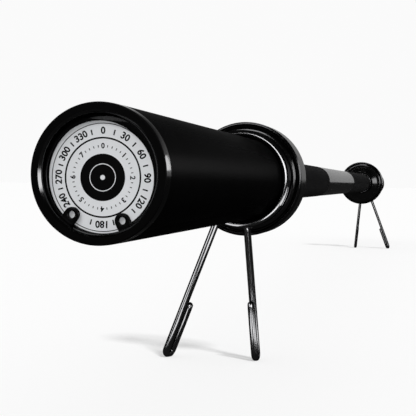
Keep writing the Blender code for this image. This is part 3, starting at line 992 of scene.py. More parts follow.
@dataclass
class SleeveEnd:
    """One sleeve with its flange, end plug and the bushings and washers inside.

    The tube narrows by taper_drop towards its mouth, is bored out to seat_radius for the two
    bushings and to bore_radius between them, and is pushed into the flange up to the web round the
    shaft. A corner that starts an outline has a short lead before it, so that it is rounded too.
    """

    place: EndFrame
    sleeve_end: float
    sleeve_radius: float
    flange_start: float
    flange_end: float
    flange_radius: float
    end_edge: float = 0.0004
    end_taper: float = 0.0053
    taper_drop: float = 0.00010
    mouth_radius: float = 0.0212
    mouth_chamfer: float = 0.0009
    groove_start: float = 0.0033
    groove_end: float = 0.0053
    groove_radius: float = 0.0223
    plug_seat: float = 0.0098
    seat_radius: float = 0.0187
    bore_radius: float = 0.0181
    outer_seat_end: float = 0.0536
    inner_seat_start: float = 0.2313
    boss_height: float = 0.0030
    boss_root: float = 0.0260
    boss_top: float = 0.0190
    bead: float = 0.00125
    groove_width: float = 0.0005
    groove_depth: float = 0.0018
    face_edge: float = 0.0030
    face_drop: float = 0.0014
    rim_band: float = 0.0004
    shaft_hole: float = 0.0160
    socket_gap: float = 0.0003
    web: float = 0.0050
    tail_chamfer: float = 0.0005
    plug_gap: float = 0.0003
    dish_radius: float = 0.0140
    dish_slope: float = 0.0012
    dish_depth: float = 0.0012
    lead: float = 0.0010
    tube_corner: float = 0.00015
    flange_corner: float = 0.0005
    plug_corner: float = 0.0004
    plug_margin: float = 0.0003
    face_band: float = 0.00003
    bead_start: float = 240.0
    taper_steps: int = 8
    edge_steps: int = 8
    shoulder_steps: int = 10
    bead_steps: int = 14
    around: int = 192
    flange_around: int = 224
    plug_around: int = 128
    sharp: float = 30.0

    @property
    def body(self) -> str:
        """The body that everything on this sleeve rides on."""
        return self.place.side.word + "_sleeve"

    def sleeve(self) -> None:
        """Turn the sleeve, with its slightly tapered mouth, the ring's groove and the stepped bore.

        The taper's drop falls with the square of the way from its end to the mouth.
        """
        r, m, tail = self.sleeve_radius, self.mouth_radius, self.sleeve_end
        way = np.linspace(0.0, 1.0, self.taper_steps + 1)[:-1]
        along = self.end_taper + way * (self.end_edge - self.end_taper)
        taper = np.stack((along, r - self.taper_drop * way ** 2), -1)
        rim = r - self.taper_drop - self.end_edge
        edge = self.arc(self.end_edge, rim, self.end_edge, 90.0, 180.0, self.edge_steps)
        corners = [
            (0.0, m + self.mouth_chamfer), (self.mouth_chamfer, m), (self.groove_start, m),
            (self.groove_start, self.groove_radius), (self.groove_end, self.groove_radius),
            (self.groove_end, m), (self.plug_seat, m), (self.plug_seat, self.seat_radius),
            (self.outer_seat_end, self.seat_radius), (self.outer_seat_end, self.bore_radius),
            (self.inner_seat_start, self.bore_radius), (self.inner_seat_start, self.seat_radius),
            (tail, self.seat_radius), (tail, r - self.tail_chamfer), (tail - self.tail_chamfer, r),
        ]
        bore = rounded(corners, self.tube_corner, steps=3, closed=False)
        profile = supported(np.vstack((taper, edge, bore)), EDGE_MARGIN)
        name = self.place.node("sleeve_tube")
        piece = turned(name, profile, self.place, self.around, self.sharp, self.glossy_mouth)
        dress(piece, self.place.axis_height, SLEEVE_COAT, MOUTH_GLOSS)
        hand_over(piece, self.body, self.place.node("sleeve"))

    def glossy_mouth(self, x: np.ndarray, radius: np.ndarray) -> np.ndarray:
        """Tell the taper, the chamfer and the bore of the mouth, which are glossy, from the coat.

        Args:
            x: How far each face lies from the end.
            radius: How far it lies from the axis.

        Returns:
            1 for a glossy face, else 0.
        """
        taper = (x > self.end_edge) & (x < self.end_taper)
        chamfer = (x > self.face_band) & (radius < self.mouth_radius + self.mouth_chamfer)
        return np.where(taper | chamfer, 1, 0)

    def flange_side(self, face: float, inwards: float) -> np.ndarray:
        """Draw half of the flange's rim, from its flat face over the groove and bead to the rim.

        Args:
            face: Where the flat face lies.
            inwards: 1 where the flange lies beyond the face, -1 where it lies before it.

        Returns:
            Rows of (x, r).
        """
        top = self.flange_radius
        groove_radius = top - 2.0 * self.bead
        edge_radius = groove_radius - self.groove_width
        turn = math.degrees(math.acos(1.0 - self.face_drop / self.face_edge))
        flat_radius = edge_radius - self.face_edge * math.sin(math.radians(turn))
        edge = self.face_edge
        shoulder = self.arc(edge, flat_radius, edge, 180.0, 180.0 - turn, self.shoulder_steps)
        groove = np.array([(self.groove_depth, edge_radius), (self.groove_depth, groove_radius)])
        bead = self.arc(self.bead, top - self.bead, self.bead, self.bead_start, 90.0, self.bead_steps)
        half = np.vstack((shoulder, groove, bead))
        return half * (inwards, 1.0) + (face, 0.0)

    @staticmethod
    def arc(x: float, r: float, radius: float, start: float, end: float, steps: int) -> np.ndarray:
        """Points on a circle about (x, r), by angle in degrees from +x towards +r."""
        angle = np.radians(np.linspace(start, end, steps + 1))
        return np.stack((x + radius * np.cos(angle), r + radius * np.sin(angle)), axis=-1)

    def flange(self) -> None:
        """Turn the flange, with its grooved and beaded edges and the boss round the shaft."""
        socket = self.sleeve_radius + self.socket_gap
        back = self.flange_end - self.boss_height
        web = back - self.web
        corners = [
            (back, self.boss_root + self.lead), (back, self.boss_root), (self.flange_end, self.boss_top),
            (self.flange_end, self.shaft_hole), (web, self.shaft_hole), (web, socket),
            (self.flange_start, socket), (self.flange_start, socket + self.lead),
        ]
        inner = rounded(corners, self.flange_corner, closed=False)
        front = self.flange_side(self.flange_start, 1.0)
        rear = self.flange_side(back, -1.0)[::-1]
        profile = supported(np.vstack((front, rear, inner)), EDGE_MARGIN)
        name = self.place.node("flange_ring")
        piece = turned(name, profile, self.place, self.flange_around, self.sharp, self.satin_rim)
        dress(piece, self.place.axis_height, FLANGE_FACE, FLANGE_RIM)
        hand_over(piece, self.body, self.place.node("flange"))

    def satin_rim(self, x: np.ndarray, radius: np.ndarray) -> np.ndarray:
        """1 for a face of the rim's cylinder, which is satin, else 0."""
        return np.where(radius > self.flange_radius - self.rim_band, 1, 0)

    def inside(self) -> None:
        """Give the pieces inside the sleeve their finishes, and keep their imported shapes."""
        for word in ("inner_bushing", "outer_bushing"):
            dress(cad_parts[self.place.node(word)], self.place.axis_height, BUSHING_BRONZE)
        for word in ("inner_washer", "outer_washer", "retaining_ring"):
            dress(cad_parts[self.place.node(word)], self.place.axis_height, WASHER_STEEL)
        LOG.info("%s: bushings, washers and retaining ring dressed", self.body)

    def plug(self) -> None:
        """Turn the plug that closes the sleeve behind the disc."""
        low, high = end_box(self.place, "end_plug")
        radius = self.mouth_radius - self.plug_gap
        dish = high[0] - self.dish_depth
        corners = [
            (low[0], 0.0), (low[0], radius), (high[0], radius), (high[0], self.dish_radius),
            (dish, self.dish_radius - self.dish_slope), (dish, 0.0),
        ]
        outline = rounded(corners, self.plug_corner, closed=False)
        profile = supported(outline, self.plug_margin, closed=False)
        piece = turned(self.place.node("plug_moulding"), profile, self.place, self.plug_around)
        dress(piece, self.place.axis_height, PLUG_PLASTIC)
        hand_over(piece, self.body, self.place.node("end_plug"))

    def dress(self) -> None:
        """Build and dress everything on this sleeve except its mouth's disc and ring."""
        self.sleeve()
        self.flange()
        self.plug()
        self.inside()


@dataclass(frozen=True)
class Tick:
    """A tick of a round scale: the radii between which it runs, and its width at one radius."""

    inner: float
    outer: float
    width: float
    measured_at: float

    @property
    def turn(self) -> float:
        """How far round the scale its width goes."""
        return self.width / self.measured_at


@dataclass
class EndDisc:
    """The printed disc in a sleeve's mouth: a plain degree scale in two bands round a dark centre.

    The disc's middle lies below the bar's axis by the drop, and the print's a print_drop lower.
    Circles are given by their two radii. A numeral is bolder by a share of its size, and the
    outer scale has none at the hidden angles, where the snap ring's lugs are. Ticks stand halfway
    between its numbers, and round the inner scale wherever no number does.
    """

    place: EndFrame
    start: float
    radius: float
    drop: float
    thickness: float = 0.0008
    ink: float = 0.00005
    border: tuple[float, float] = (0.01882, 0.01909)
    ring: tuple[float, float] = (0.01360, 0.01418)
    centre: tuple[tuple[float, float], ...] = ((0.0009, 0.0046), (0.0049, 0.0083))
    number_radius: float = 0.01635
    number_size: float = 0.0034
    small_radius: float = 0.0110
    small_size: float = 0.0026
    tick: Tick = Tick(0.0153, 0.0172, 0.00050, 0.0168)
    small_tick: Tick = Tick(0.0106, 0.0114, 0.00028, 0.0110)
    number_every: int = 30
    hidden: tuple[int, int] = (150, 210)
    tick_every: int = 9
    eighth: int = 45
    print_drop: float = 0.0005
    bolder: float = 0.03
    seam: float = 1e-4
    corner: float = 0.00012
    margin: float = 0.0003
    ring_sides: int = 180
    tick_sides: int = 2
    letter_steps: int = 3
    around: int = 160
    sharp: float = 35.0

    def polar(self, radius: np.ndarray, turn: np.ndarray, depth: np.ndarray) -> np.ndarray:
        """Find points of the print, as (-r sin turn, r cos turn) across and up from its middle.

        Args:
            radius: How far they lie from the print's middle.
            turn: Their clockwise turn from the top.
            depth: How far they stand off the disc's face.

        Returns:
            Rows of x, y, z in the end's frame.
        """
        up = radius * np.cos(turn) - self.drop - self.print_drop
        return np.stack(np.broadcast_arrays(self.start - depth, -radius * np.sin(turn), up), axis=-1)

    def face(self) -> None:
        """Turn the disc itself, a little below the bar's axis."""
        t, r = self.thickness, self.radius
        corners = [(0.0, 0.0), (0.0, r), (t, r), (t, 0.0)]
        outline = rounded(corners, self.corner, steps=3, closed=False)
        profile = supported(outline, self.margin, closed=False)
        profile[:, 0] += self.start
        lowered = EndFrame(self.place.side, self.place.tip, self.place.axis_height - self.drop)
        piece = turned(self.place.node("disc_plate"), profile, lowered, self.around)
        dress(piece, self.place.axis_height - self.drop, DISC_FACE)
        hand_over(piece, self.place.side.word + "_sleeve", self.place.node("end_disc"))

    def band(
        self, inner: float, outer: float, turn: float, width: float, steps: int,
    ) -> tuple[np.ndarray, np.ndarray]:
        """Make a block of ink between two radii and two turns.

        Its section is a thin rectangle, carried round from turn - width / 2 to turn + width / 2.

        Args:
            inner: The radius where it starts.
            outer: The radius where it ends.
            turn: The turn of its middle.
            width: How far it turns.
            steps: How many sections it has between its ends.

        Returns:
            Its points and its square faces.
        """
        turns = np.linspace(turn - width / 2.0, turn + width / 2.0, steps + 1)[:, None]
        radii = np.array((inner, outer, outer, inner))[None, :]
        depths = np.array((0.0, 0.0, self.ink, self.ink))[None, :]
        points = self.polar(radii, turns, depths)
        sides = grid_quads(steps + 1, 4, False)
        caps = np.array([(3, 2, 1, 0), (4 * steps, 4 * steps + 1, 4 * steps + 2, 4 * steps + 3)])
        return points.reshape(-1, 3), np.vstack((sides, caps))

    def marks(self) -> list[tuple[float, float, float, float, int]]:
        """List the plain marks: full circles, and ticks by degrees round the two bands.

        Returns:
            Rows of a mark's radii, turn, width in radians and count of sections.
        """
        full = math.tau - self.seam
        circles = (self.border, self.ring, *self.centre)
        marks = [(*circle, 0.0, full, self.ring_sides) for circle in circles]
        halfway = range(self.number_every // 2, 360, self.number_every)
        free = [degree for degree in range(0, 360, self.tick_every) if degree % self.eighth]
        for tick, degrees in ((self.tick, halfway), (self.small_tick, free)):
            for degree in degrees:
                marks.append((tick.inner, tick.outer, math.radians(degree), tick.turn, self.tick_sides))
        return marks

    def numbers(self) -> list[tuple[str, float, float, float]]:
        """List the scale's numbers.

        The outer scale counts degrees, without the two numbers that the ring's lugs hide. The inner
        one counts eighths of a turn.

        Returns:
            Rows of a number's digits, size, radius and turn.
        """
        rows = []
        for degree in range(0, 360, self.number_every):
            if degree not in self.hidden:
                rows.append((str(degree), self.number_size, self.number_radius, math.radians(degree)))
        for count in range(360 // self.eighth):
            rows.append((str(count), self.small_size, self.small_radius, math.radians(self.eighth * count)))
        return rows

    def numeral(
        self, text: str, size: float, radius: float, turn: float,
    ) -> tuple[np.ndarray, list[np.ndarray]]:
        """Make a number of ink, upright towards the disc's rim.

        Args:
            text: The digits.
            size: Their size.
            radius: How far from the disc's middle their middle lies.
            turn: The clockwise turn at which they stand.

        Returns:
            Its points and its faces by their count of corners.
        """
        curve = bpy.data.curves.new("numeral", "FONT")
        curve.body = text
        curve.size = size
        curve.align_x = "CENTER"
        curve.align_y = "CENTER"
        curve.extrude = self.ink / 2.0
        curve.offset = size * self.bolder
        curve.resolution_u = self.letter_steps
        mesh = curve_mesh("numeral", curve)
        flat = mesh_points(mesh)
        across = flat[:, 0]
        out = radius + flat[:, 1]
        y = -(across * math.cos(turn) + out * math.sin(turn))
        z = out * math.cos(turn) - across * math.sin(turn) - self.drop - self.print_drop
        points = np.stack((self.start - self.ink / 2.0 - flat[:, 2], y, z), axis=-1)
        groups: dict[int, list[tuple[int, ...]]] = {}
        for polygon in mesh.polygons:
            groups.setdefault(len(polygon.vertices), []).append(tuple(polygon.vertices))
        return points, [np.array(rows) for rows in groups.values()]

    def scale(self) -> None:
        """Build all the ink as one thin piece on the disc's face."""
        points, faces, count = [], [], 0
        for mark in self.marks():
            new_points, squares = self.band(*mark)
            points.append(new_points)
            faces.append(squares + count)
            count += len(new_points)
        for row in self.numbers():
            new_points, groups = self.numeral(*row)
            points.append(new_points)
            faces.extend(group + count for group in groups)
            count += len(new_points)
        name = self.place.node("disc_scale")
        mesh = merged(make_mesh(name, self.place.world(np.vstack(points)), faces, self.sharp))
        mesh.shade_flat()
        piece = show(name, mesh)
        dress(piece, self.place.axis_height - self.drop, DISC_INK)
        hand_over(piece, self.place.side.word + "_sleeve")

    def dress(self) -> None:
        """Build and dress the disc and its print."""
        self.face()
        self.scale()


@dataclass
class SnapRing:
    """The internal ring in the mouth's groove, with two drilled lugs beside its gap.

    Each lug stands half_gap degrees from the gap's middle. The band is width wide beside the lugs
    and the crown wider at its widest place, which lies crown_turn degrees off the top.
    """

    place: EndFrame
    start: float
    thickness: float
    radius: float = 0.0220
    width: float = 0.0015
    crown: float = 0.0022
    crown_turn: float = -25.0
    lug_radius: float = 0.0027
    lug_inset: float = 0.0025
    hole_radius: float = 0.0013
    half_gap: float = 31.5
    gap_angle: float = -5.5
    edge: float = 0.00018
    outer_steps: int = 160
    inner_steps: int = 140
    nose_steps: int = 25
    hole_steps: int = 32
    sharp: float = 40.0

    def outlines(self) -> list[np.ndarray]:
        """Draw the ring's outline and its two holes, in a plane with the gap at the bottom.

        The outer edge runs past the lugs, each lug is a tab with a half-round nose towards the
        middle, and the inner edge joins the lugs' far sides. The band widens away from the gap by
        the crown times ((1 - cos turn) / 2) squared, as on a real ring, which bends evenly, and its
        widest place leans to the right, the side on which the ring sits less deep in its groove.

        Returns:
            Rows of across and up for each outline.
        """
        inner = self.radius - self.width
        lug_centre = inner - self.lug_inset
        outer_turn = math.degrees(math.asin(self.lug_radius / self.radius))
        inner_turn = math.degrees(math.asin(self.lug_radius / inner))
        far_side = 360.0 - self.half_gap
        sweep = np.linspace(far_side + outer_turn, self.half_gap - outer_turn, self.outer_steps)
        back = np.linspace(self.half_gap + inner_turn, far_side - inner_turn, self.inner_steps)
        parts = [self.at(self.radius, sweep)]
        turns = np.radians(np.linspace(-90.0, 90.0, self.nose_steps))[:, None]
        for side in (1.0, -1.0):
            centre = self.at(lug_centre, np.array([side * self.half_gap]))
            away = self.at(1.0, np.array([side * (self.half_gap + 90.0)]))
            outwards = self.at(1.0, np.array([side * self.half_gap]))
            nose = centre + self.lug_radius * (np.sin(turns) * away - np.cos(turns) * outwards)
            parts.append(nose if side > 0.0 else nose[::-1])
            if side > 0.0:
                widening = ((1.0 - np.cos(np.radians(back - self.crown_turn))) / 2.0) ** 2
                parts.append(self.at(inner - self.crown * widening, back))
        circle = np.linspace(0.0, math.tau, self.hole_steps, endpoint=False)
        hole = self.hole_radius * np.stack((np.cos(circle), np.sin(circle)), axis=-1)
        holes = [hole + self.at(lug_centre, np.array([side * self.half_gap])) for side in (1.0, -1.0)]
        return [np.vstack(parts), *holes]

    @staticmethod
    def at(radius: float | np.ndarray, angle: np.ndarray) -> np.ndarray:
        """Points across and up at angles in degrees from straight down, positive to the right."""
        turn = np.radians(angle)
        return np.stack((radius * np.sin(turn), -radius * np.cos(turn)), axis=-1)

    def dress(self) -> None:
        """Cut the ring from sheet, turn it to its place and dress it."""
        name = self.place.node("snap_ring_steel")
        mesh = flat_plate(name, self.outlines(), self.thickness, self.edge)
        flat = mesh_points(mesh)
        turn = math.radians(self.gap_angle)
        across = flat[:, 0] * math.cos(turn) - flat[:, 1] * math.sin(turn)
        up = flat[:, 0] * math.sin(turn) + flat[:, 1] * math.cos(turn)
        points = np.stack((self.start + self.thickness / 2.0 - flat[:, 2], -across, up), axis=-1)
        mesh.vertices.foreach_set("co", self.place.world(points).astype(np.float32).ravel())
        merged(mesh)
        mesh.shade_smooth()
        mesh.set_sharp_from_angle(angle=math.radians(self.sharp))
        piece = show(name, mesh)
        dress(piece, self.place.axis_height, RING_STEEL)
        hand_over(piece, self.place.side.word + "_sleeve", self.place.node("snap_ring"))


@dataclass
class SpringCollar:
    """One bent wire: two turns round the sleeve, and a handle with a hairpin foot at each end.

    The wire's size is its radius, and the gap lies between it and the sleeve or the flange. Each
    leg has its angle from straight down and the offset by which its line passes to the left of the
    axis. The outer return wire is swung about its leg by the twist, and foot_flat is how deep the
    feet are flattened where they stand.
    """

    place: EndFrame
    flange_start: float
    sleeve_radius: float
    wire: float = 0.00225
    gap: float = 0.0003
    turns: int = 2
    pitch: float = 0.00525
    crank_radius: float = 0.0050
    outer_angle: float = -20.9
    outer_offset: float = 0.0040
    inner_angle: float = 5.3
    inner_offset: float = 0.0002
    hairpin_radius: float = 0.0030
    hairpin_length: float = 0.032
    outer_twist: float = 22.0
    foot_flat: float = 0.0005
    crank_steps: int = 18
    hairpin_steps: int = 32
    coil_steps: int = 240
    straight_steps: int = 8

    @property
    def coil_radius(self) -> float:
        """The radius of the coil's centre line."""
        return self.sleeve_radius + self.gap + self.wire

    @staticmethod
    def leg_axes(angle: float) -> tuple[np.ndarray, np.ndarray]:
        """Find a leg's directions, both square to the axis.

        Args:
            angle: The leg's angle in degrees from straight down.

        Returns:
            Its outward direction and the direction to its left.
        """
        across, down = math.sin(math.radians(angle)), math.cos(math.radians(angle))
        return np.array((0.0, -across, -down)), np.array((0.0, down, -across))

    def crank(self, angle: float, offset: float, side: float) -> tuple[np.ndarray, float]:
        """Bend the wire from a leg into the coil.

        Its centre lies one bend radius to the given side of the leg and a bend radius outside the
        coil, so that the bend touches both. Its points go round that centre at even angles.

        Args:
            angle: The leg's angle in degrees.
            offset: How far the leg's line passes to the left of the axis.
            side: 1 where the bend lies to the leg's left, -1 to its right.

        Returns:
            The bend's points from the leg to the coil, and the coil's angle there in degrees.
        """
        outwards, leftwards = self.leg_axes(angle)
        across = offset + side * self.crank_radius
        along = math.sqrt((self.coil_radius + self.crank_radius) ** 2 - across ** 2)
        centre = along * outwards + across * leftwards
        sweep = math.atan2(along, side * across)
        turn = np.linspace(0.0, sweep, self.crank_steps + 1)[:, None]
        points = centre - self.crank_radius * (side * np.cos(turn) * leftwards + np.sin(turn) * outwards)
        return points, angle - math.degrees(math.atan2(across, along))

    def hairpin(self, angle: float, offset: float, sideways: np.ndarray) -> np.ndarray:
        """Bend a leg's foot: a half circle from the leg to the return wire, and the return wire.

        The leg is as long as brings the half circle's lowest point one flat's depth below the floor.

        Args:
            angle: The leg's angle in degrees.
            offset: How far the leg's line passes to the left of the axis.
            sideways: The direction from the leg to its return wire.

        Returns:
            Points from the leg's end to the return wire's tip.
        """
        outwards, leftwards = self.leg_axes(angle)
        lowest = self.hairpin_radius * (math.hypot(outwards[2], sideways[2]) - sideways[2])
        reach = self.place.axis_height + self.foot_flat - self.wire - lowest + offset * leftwards[2]
        end = -reach / outwards[2] * outwards + offset * leftwards
        turn = np.linspace(0.0, math.pi, self.hairpin_steps + 1)[:, None]
        loop = end + self.hairpin_radius * ((1.0 - np.cos(turn)) * sideways + np.sin(turn) * outwards)
        back = np.linspace(0.0, self.hairpin_length, self.straight_steps + 1)[1:, None]
        return np.vstack((loop, loop[-1] - back * outwards))

    def route(self) -> np.ndarray:
        """Draw the wire's centre line from one hairpin's tip to the other's.

        The coil is a helix: its angle grows evenly, and x grows by one pitch in each turn.

        Returns:
            Rows of x, y, z in the end's frame, with the coil against the flange.
        """
        twist = math.radians(self.outer_twist)
        outer_left = self.leg_axes(self.outer_angle)[1]
        outer_sideways = np.array((math.cos(twist), 0.0, 0.0)) - math.sin(twist) * outer_left
        outer_loop = self.hairpin(self.outer_angle, self.outer_offset, outer_sideways)
        inner_loop = self.hairpin(self.inner_angle, self.inner_offset, np.array((-1.0, 0.0, 0.0)))
        outer_crank, coil_start = self.crank(self.outer_angle, self.outer_offset, -1.0)
        inner_crank, coil_end = self.crank(self.inner_angle, self.inner_offset, 1.0)
        coil_end += 360.0 * self.turns
        advance = self.pitch * (coil_end - coil_start) / 360.0
        share = np.linspace(0.0, 1.0, self.coil_steps + 1)[1:-1, None]
        turn = np.radians(coil_start + share * (coil_end - coil_start))
        around = -self.coil_radius * np.hstack((np.sin(turn), np.cos(turn)))
        coil = np.hstack((share * advance, around))
        shift = np.array((advance, 0.0, 0.0))
        outer_leg = self.between(outer_loop[0], outer_crank[0])
        inner_leg = self.between(inner_crank[0], inner_loop[0])
        start = np.array((self.flange_start - self.gap - self.wire - advance, 0.0, 0.0))
        outer_half = (outer_loop[::-1], outer_leg, outer_crank, coil)
        inner_half = (inner_crank[::-1] + shift, inner_leg + shift, inner_loop + shift)
        return np.vstack(outer_half + inner_half) + start

    def between(self, first: np.ndarray, last: np.ndarray) -> np.ndarray:
        """Points on the straight run between two points, without its ends."""
        return first + np.linspace(0.0, 1.0, self.straight_steps + 1)[1:-1, None] * (last - first)

    def dress(self) -> None:
        """Sweep the wire along its route and dress it."""
        piece = swept(self.place.node("collar_wire"), self.route(), self.wire, self.place)
        dress(piece, self.place.axis_height, SPRING_WIRE)
        hand_over(piece, self.place.side.word + "_collar", self.place.node("spring_collar"))


def end_box(place: EndFrame, piece: str) -> tuple[np.ndarray, np.ndarray]:
    """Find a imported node's box in its end's frame.

    Args:
        place: The end's frame.
        piece: The piece's name without its end.

    Returns:
        The lowest and the highest corner.
    """
    way = place.side.value
    corners = np.array([tuple(corner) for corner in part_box(place.node(piece))])
    back = (corners - (place.tip, 0.0, place.axis_height)) * (way, way, 1.0)
    return back.min(axis=0), back.max(axis=0)


# The picture


@dataclass(frozen=True)
class Softbox:
    """A rectangular lamp that faces a point, as bright all over as its radiance says.

    It shows in gloss, as the bright cards of a studio do, and a plain one also adds to the plain light.
    One for the wires lights the spring collars alone, and any other everything but them and the floor.
    """

    name: str
    place: tuple[float, float, float]
    target: tuple[float, float, float]
    size: tuple[float, float]
    radiance: float
    plain: bool = False
    for_wires: bool = False

    @classmethod
    def card(
        cls, name: str, middle: tuple[float, float], size: tuple[float, float], radiance: float,
    ) -> "Softbox":
        """Lay a card for the wires on the floor, facing up.

        Args:
            name: The card's name.
            middle: Its middle's x and y.
            size: Its length and width.
            radiance: How bright it is.

        Returns:
            The card.
        """
        return cls(name, (*middle, CARD_LIFT), (*middle, 1.0), size, radiance, for_wires=True)

    def build(self) -> bpy.types.Object:
        """Add the lamp, whose power is pi times its area times its radiance.

        Returns:
            The lamp.
        """
        light = bpy.data.lights.new(self.name, "AREA")
        light.shape = "RECTANGLE"
        light.size, light.size_y = self.size
        light.energy = math.pi * light.size * light.size_y * self.radiance
        lamp = show(self.name, light)
        lamp.visible_camera = False
        lamp.visible_diffuse = self.plain
        lamp.location = self.place
        aim = Vector(self.target) - Vector(self.place)
        lamp.rotation_euler = aim.to_track_quat("-Z", "Y").to_euler()
        return lamp


@dataclass
class Studio:
    """The floor, the world, the lamps and the camera.

    The surround is white to the eye, lights the object plainly at the level, and shows in gloss as
    a white backdrop in a dim room. Each pair of the backdrop says where a smooth step starts and
    ends. The floor glows by the lift to the eye and has the colour seen there. In gloss both are
    the mirrored one, and elsewhere it has its plain colour and no glow.
    """

    camera_place: tuple[float, float, float] = (-1.0545, -0.1110, 0.1088)
    yaw: float = 13.746
    pitch: float = -1.632
    roll: float = 0.806
    lens: float = 78.02
    sensor: float = 36.0
    nearest: float = 0.01
    white: float = 0.958
    room: float = 0.015
    backdrop: tuple[float, float] = (0.4, 1.0)
    backdrop_top: tuple[float, float] = (0.12, 0.40)
    level: float = 0.45
    floor_half: float = 30.0
    floor_lift: float = 0.447
    floor_mirrored: float = 0.02
    floor_seen: float = 0.50
    floor_colour: float = 0.14
    key: float = 2.4
    key_angle: float = 9.0
    key_from: tuple[float, float, float] = (-0.34, -0.48, 0.81)
    softboxes: tuple[Softbox, ...] = field(default=(
        Softbox("right_softbox", (-0.9, -1.5, 0.44), (-0.9, 0.0, 0.30), (2.2, 0.66), 3.2),
        Softbox("near_softbox", (-0.88, -0.26, 0.15), (-0.65, 0.0, 0.12), (0.15, 0.12), 5.0),
        Softbox("high_softbox", (-2.2, 0.5, 1.1), (-0.7, 0.0, 0.12), (1.2, 0.8), 3.6, plain=True),
        Softbox("far_softbox", (1.12, -0.74, 0.35), (-0.76, 0.0, 0.11), (0.36, 0.28), 9.0),
        Softbox("over_softbox", (0.35, 0.0, 2.2), (0.35, 0.0, 0.11), (2.3, 0.9), 4.0),
        Softbox("back_softbox", (0.0, 1.7, 0.9), (0.0, 0.0, 0.11), (2.6, 0.7), 8.0),
        Softbox("front_softbox", (0.9, -1.7, 0.7), (0.9, 0.0, 0.11), (1.4, 0.6), 8.0),
        Softbox("wire_front", (-1.67, -0.234, 0.33), NEAR_COLLAR, (1.04, 0.38), 6.5, for_wires=True),
        Softbox("wire_left", (-1.32, 0.874, 0.288), NEAR_COLLAR, (0.53, 0.46), 4.5, for_wires=True),
        Softbox.card("wire_near_card", (-0.67, 0.045), (0.22, 0.06), 4.0),
        Softbox.card("wire_mid_card", (-0.71, -0.22), (0.14, 0.16), 3.0),
        Softbox.card("wire_low_card", (-0.73, -0.09), (0.24, 0.10), 5.0),
        Softbox.card("wire_right_card", (-0.55, -0.375), (0.20, 0.45), 4.0),
    ))

    def camera(self) -> None:
        """Set the camera where the photograph was taken from.

        It looks along a yaw and a pitch, and its frame is then rolled about that direction.
        """
        yaw, pitch, roll = (math.radians(a) for a in (self.yaw, self.pitch, self.roll))
        ahead = Vector((math.cos(yaw) * math.cos(pitch), math.sin(yaw) * math.cos(pitch), math.sin(pitch)))
        right = Vector((math.sin(yaw), -math.cos(yaw), 0.0))
        up = right.cross(ahead)
        across = math.cos(roll) * right + math.sin(roll) * up
        upright = math.cos(roll) * up - math.sin(roll) * right
        turn = Matrix((across, upright, -ahead)).transposed()
        data = bpy.data.cameras.new("camera")
        data.lens = self.lens
        data.sensor_width = self.sensor
        data.clip_start = self.nearest
        camera = show("camera", data)
        camera.matrix_world = Matrix.Translation(self.camera_place) @ turn.to_4x4()
        bpy.context.scene.camera = camera

    def world(self) -> None:
        """Set the surround: white to the eye, and a plain level where it lights the object.

        In a gloss it is a white backdrop on the far side, +x, which falls to a dim room on the
        near side by a smooth step of the direction's x, and to the same room above its top by a
        smooth step of the direction's z.
        """
        world = bpy.data.worlds.new("studio")
        bpy.context.scene.world = world
        world.use_nodes = True
        tree = Tree(world.node_tree)
        background = world.node_tree.nodes["Background"]
        tree.join((1.0, 1.0, 1.0, 1.0), background.inputs["Color"])
        parts = tree.add("ShaderNodeSeparateXYZ")
        tree.join(tree.add("ShaderNodeTexCoord").outputs["Generated"], parts.inputs[0])
        far = tree.spread(parts.outputs["X"], 0.0, 1.0, *self.backdrop, "SMOOTHSTEP")
        below = tree.spread(parts.outputs["Z"], 1.0, 0.0, *self.backdrop_top, "SMOOTHSTEP")
        path = tree.add("ShaderNodeLightPath")
        backdrop = tree.switch(tree.math("MULTIPLY", far, below), self.room, self.white)
        lit = tree.switch(tree.mirrored(path), self.level, backdrop)
        seen = tree.switch(path.outputs["Is Camera Ray"], lit, self.white)
        tree.join(seen, background.inputs["Strength"])

    def floor(self) -> bpy.types.Object:
        """Lay a pale floor that glows to the eye like the surround and still takes soft shadows.

        Returns:
            The floor.
        """
        half = self.floor_half
        corners = [(-half, -half, 0.0), (half, -half, 0.0), (half, half, 0.0), (-half, half, 0.0)]
        mesh = bpy.data.meshes.new("floor")
        mesh.from_pydata(corners, [], [(0, 1, 2, 3)])
        floor = show("floor", mesh)
        material = bpy.data.materials.new("pale_floor")
        material.use_nodes = True
        material.node_tree.nodes.clear()
        tree = Tree(material.node_tree)
        path = tree.add("ShaderNodeLightPath")
        eye, gloss = path.outputs["Is Camera Ray"], tree.mirrored(path)
        matt = tree.add("ShaderNodeBsdfDiffuse")
        shade = tree.switch(gloss, self.floor_colour, self.floor_mirrored)
        tree.join(tree.switch(eye, shade, self.floor_seen), matt.inputs["Color"])
        glow = tree.add("ShaderNodeEmission")
        lift = tree.switch(gloss, 0.0, self.floor_mirrored)
        tree.join(tree.switch(eye, lift, self.floor_lift), glow.inputs["Strength"])
        both = tree.add("ShaderNodeAddShader")
        tree.join(matt.outputs[0], both.inputs[0])
        tree.join(glow.outputs[0], both.inputs[1])
        tree.join(both.outputs[0], tree.add("ShaderNodeOutputMaterial").inputs["Surface"])
        mesh.materials.append(material)
        return floor

    def sun(self, casters: list[bpy.types.Object]) -> None:
        """Hang the key lamp, far off to the front and right, as wide as a softbox.

        Only the wire handles block it, so that the floor takes their short shadows and stays even
        elsewhere. It shows in no gloss.

        Args:
            casters: The pieces whose shadows it throws.
        """
        light = bpy.data.lights.new("key", "SUN")
        light.energy = self.key
        light.angle = math.radians(self.key_angle)
        lamp = show("key", light)
        lamp.visible_camera = False
        lamp.visible_glossy = False
        lamp.rotation_euler = Vector(self.key_from).to_track_quat("Z", "Y").to_euler()
        lamp.light_linking.blocker_collection = self.linked("key_blockers", casters, "INCLUDE")

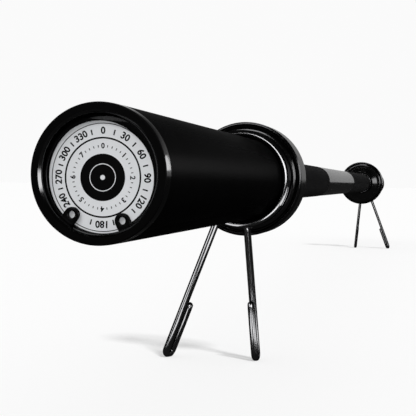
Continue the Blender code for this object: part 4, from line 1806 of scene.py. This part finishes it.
    @staticmethod
    def linked(name: str, pieces: list[bpy.types.Object], state: str) -> bpy.types.Collection:
        """Make a collection that tells a lamp to include or exclude some pieces.

        Args:
            name: The collection's name.
            pieces: The pieces.
            state: INCLUDE or EXCLUDE.

        Returns:
            The collection.
        """
        collection = bpy.data.collections.new(name)
        for piece in pieces:
            collection.objects.link(piece)
        for member in collection.collection_objects:
            member.light_linking.link_state = state
        return collection

    def build(self, casters: list[bpy.types.Object]) -> None:
        """Set up the whole picture, with softboxes that leave the floor to the key and the surround.

        Args:
            casters: The pieces whose shadows the key throws.
        """
        bpy.context.scene.view_settings.view_transform = "Standard"
        self.camera()
        self.world()
        floor = self.floor()
        self.sun(casters)
        wires = self.linked("wires", casters, "INCLUDE")
        others = self.linked("all_but_wires_and_floor", [floor, *casters], "EXCLUDE")
        for softbox in self.softboxes:
            softbox.build().light_linking.receiver_collection = wires if softbox.for_wires else others


def build_end(side: Side, half_length: float, axis_height: float) -> None:
    """Build and dress everything at one end of the bar.

    Args:
        side: Which end.
        half_length: Half of the bar's length.
        axis_height: How high the bar's axis lies.
    """
    place = EndFrame(side, -side.value * half_length, axis_height)
    sleeve = end_box(place, "sleeve")
    flange = end_box(place, "flange")
    disc = end_box(place, "end_disc")
    ring = end_box(place, "snap_ring")
    parts = (
        SleeveEnd(place, sleeve[1][0], sleeve[1][2], flange[0][0], flange[1][0], flange[1][2]),
        EndDisc(place, disc[0][0], (disc[1][2] - disc[0][2]) / 2.0, -(disc[1][2] + disc[0][2]) / 2.0),
        SnapRing(place, ring[0][0], ring[1][0] - ring[0][0]),
        SpringCollar(place, flange[0][0], sleeve[1][2]),
    )
    for part in parts:
        part.dress()


def main() -> None:
    """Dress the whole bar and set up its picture."""
    logging.basicConfig(level=logging.INFO, format="%(name)s: %(message)s")
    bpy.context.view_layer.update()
    low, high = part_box("shaft")
    axis_height = (low.z + high.z) / 2.0
    half_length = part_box("right_sleeve")[1].x
    ring_low, ring_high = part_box("right_retaining_ring")
    shaft = Shaft(
        half_length=high.x,
        axis_height=axis_height,
        grip_radius=high.z - axis_height,
        shoulder=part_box("right_inner_washer")[0].x - SEAT_GAP,
        land_end=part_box("right_flange")[0].x - GRIP_LAND,
        groove_start=ring_low.x - RING_PLAY,
        groove_end=ring_high.x + RING_PLAY,
    )
    shaft.dress()
    for side in Side:
        build_end(side, half_length, axis_height)
    Studio().build([bpy.data.objects[f"{side.word}_collar_wire"] for side in Side])


if __name__ == "__main__":
    main()
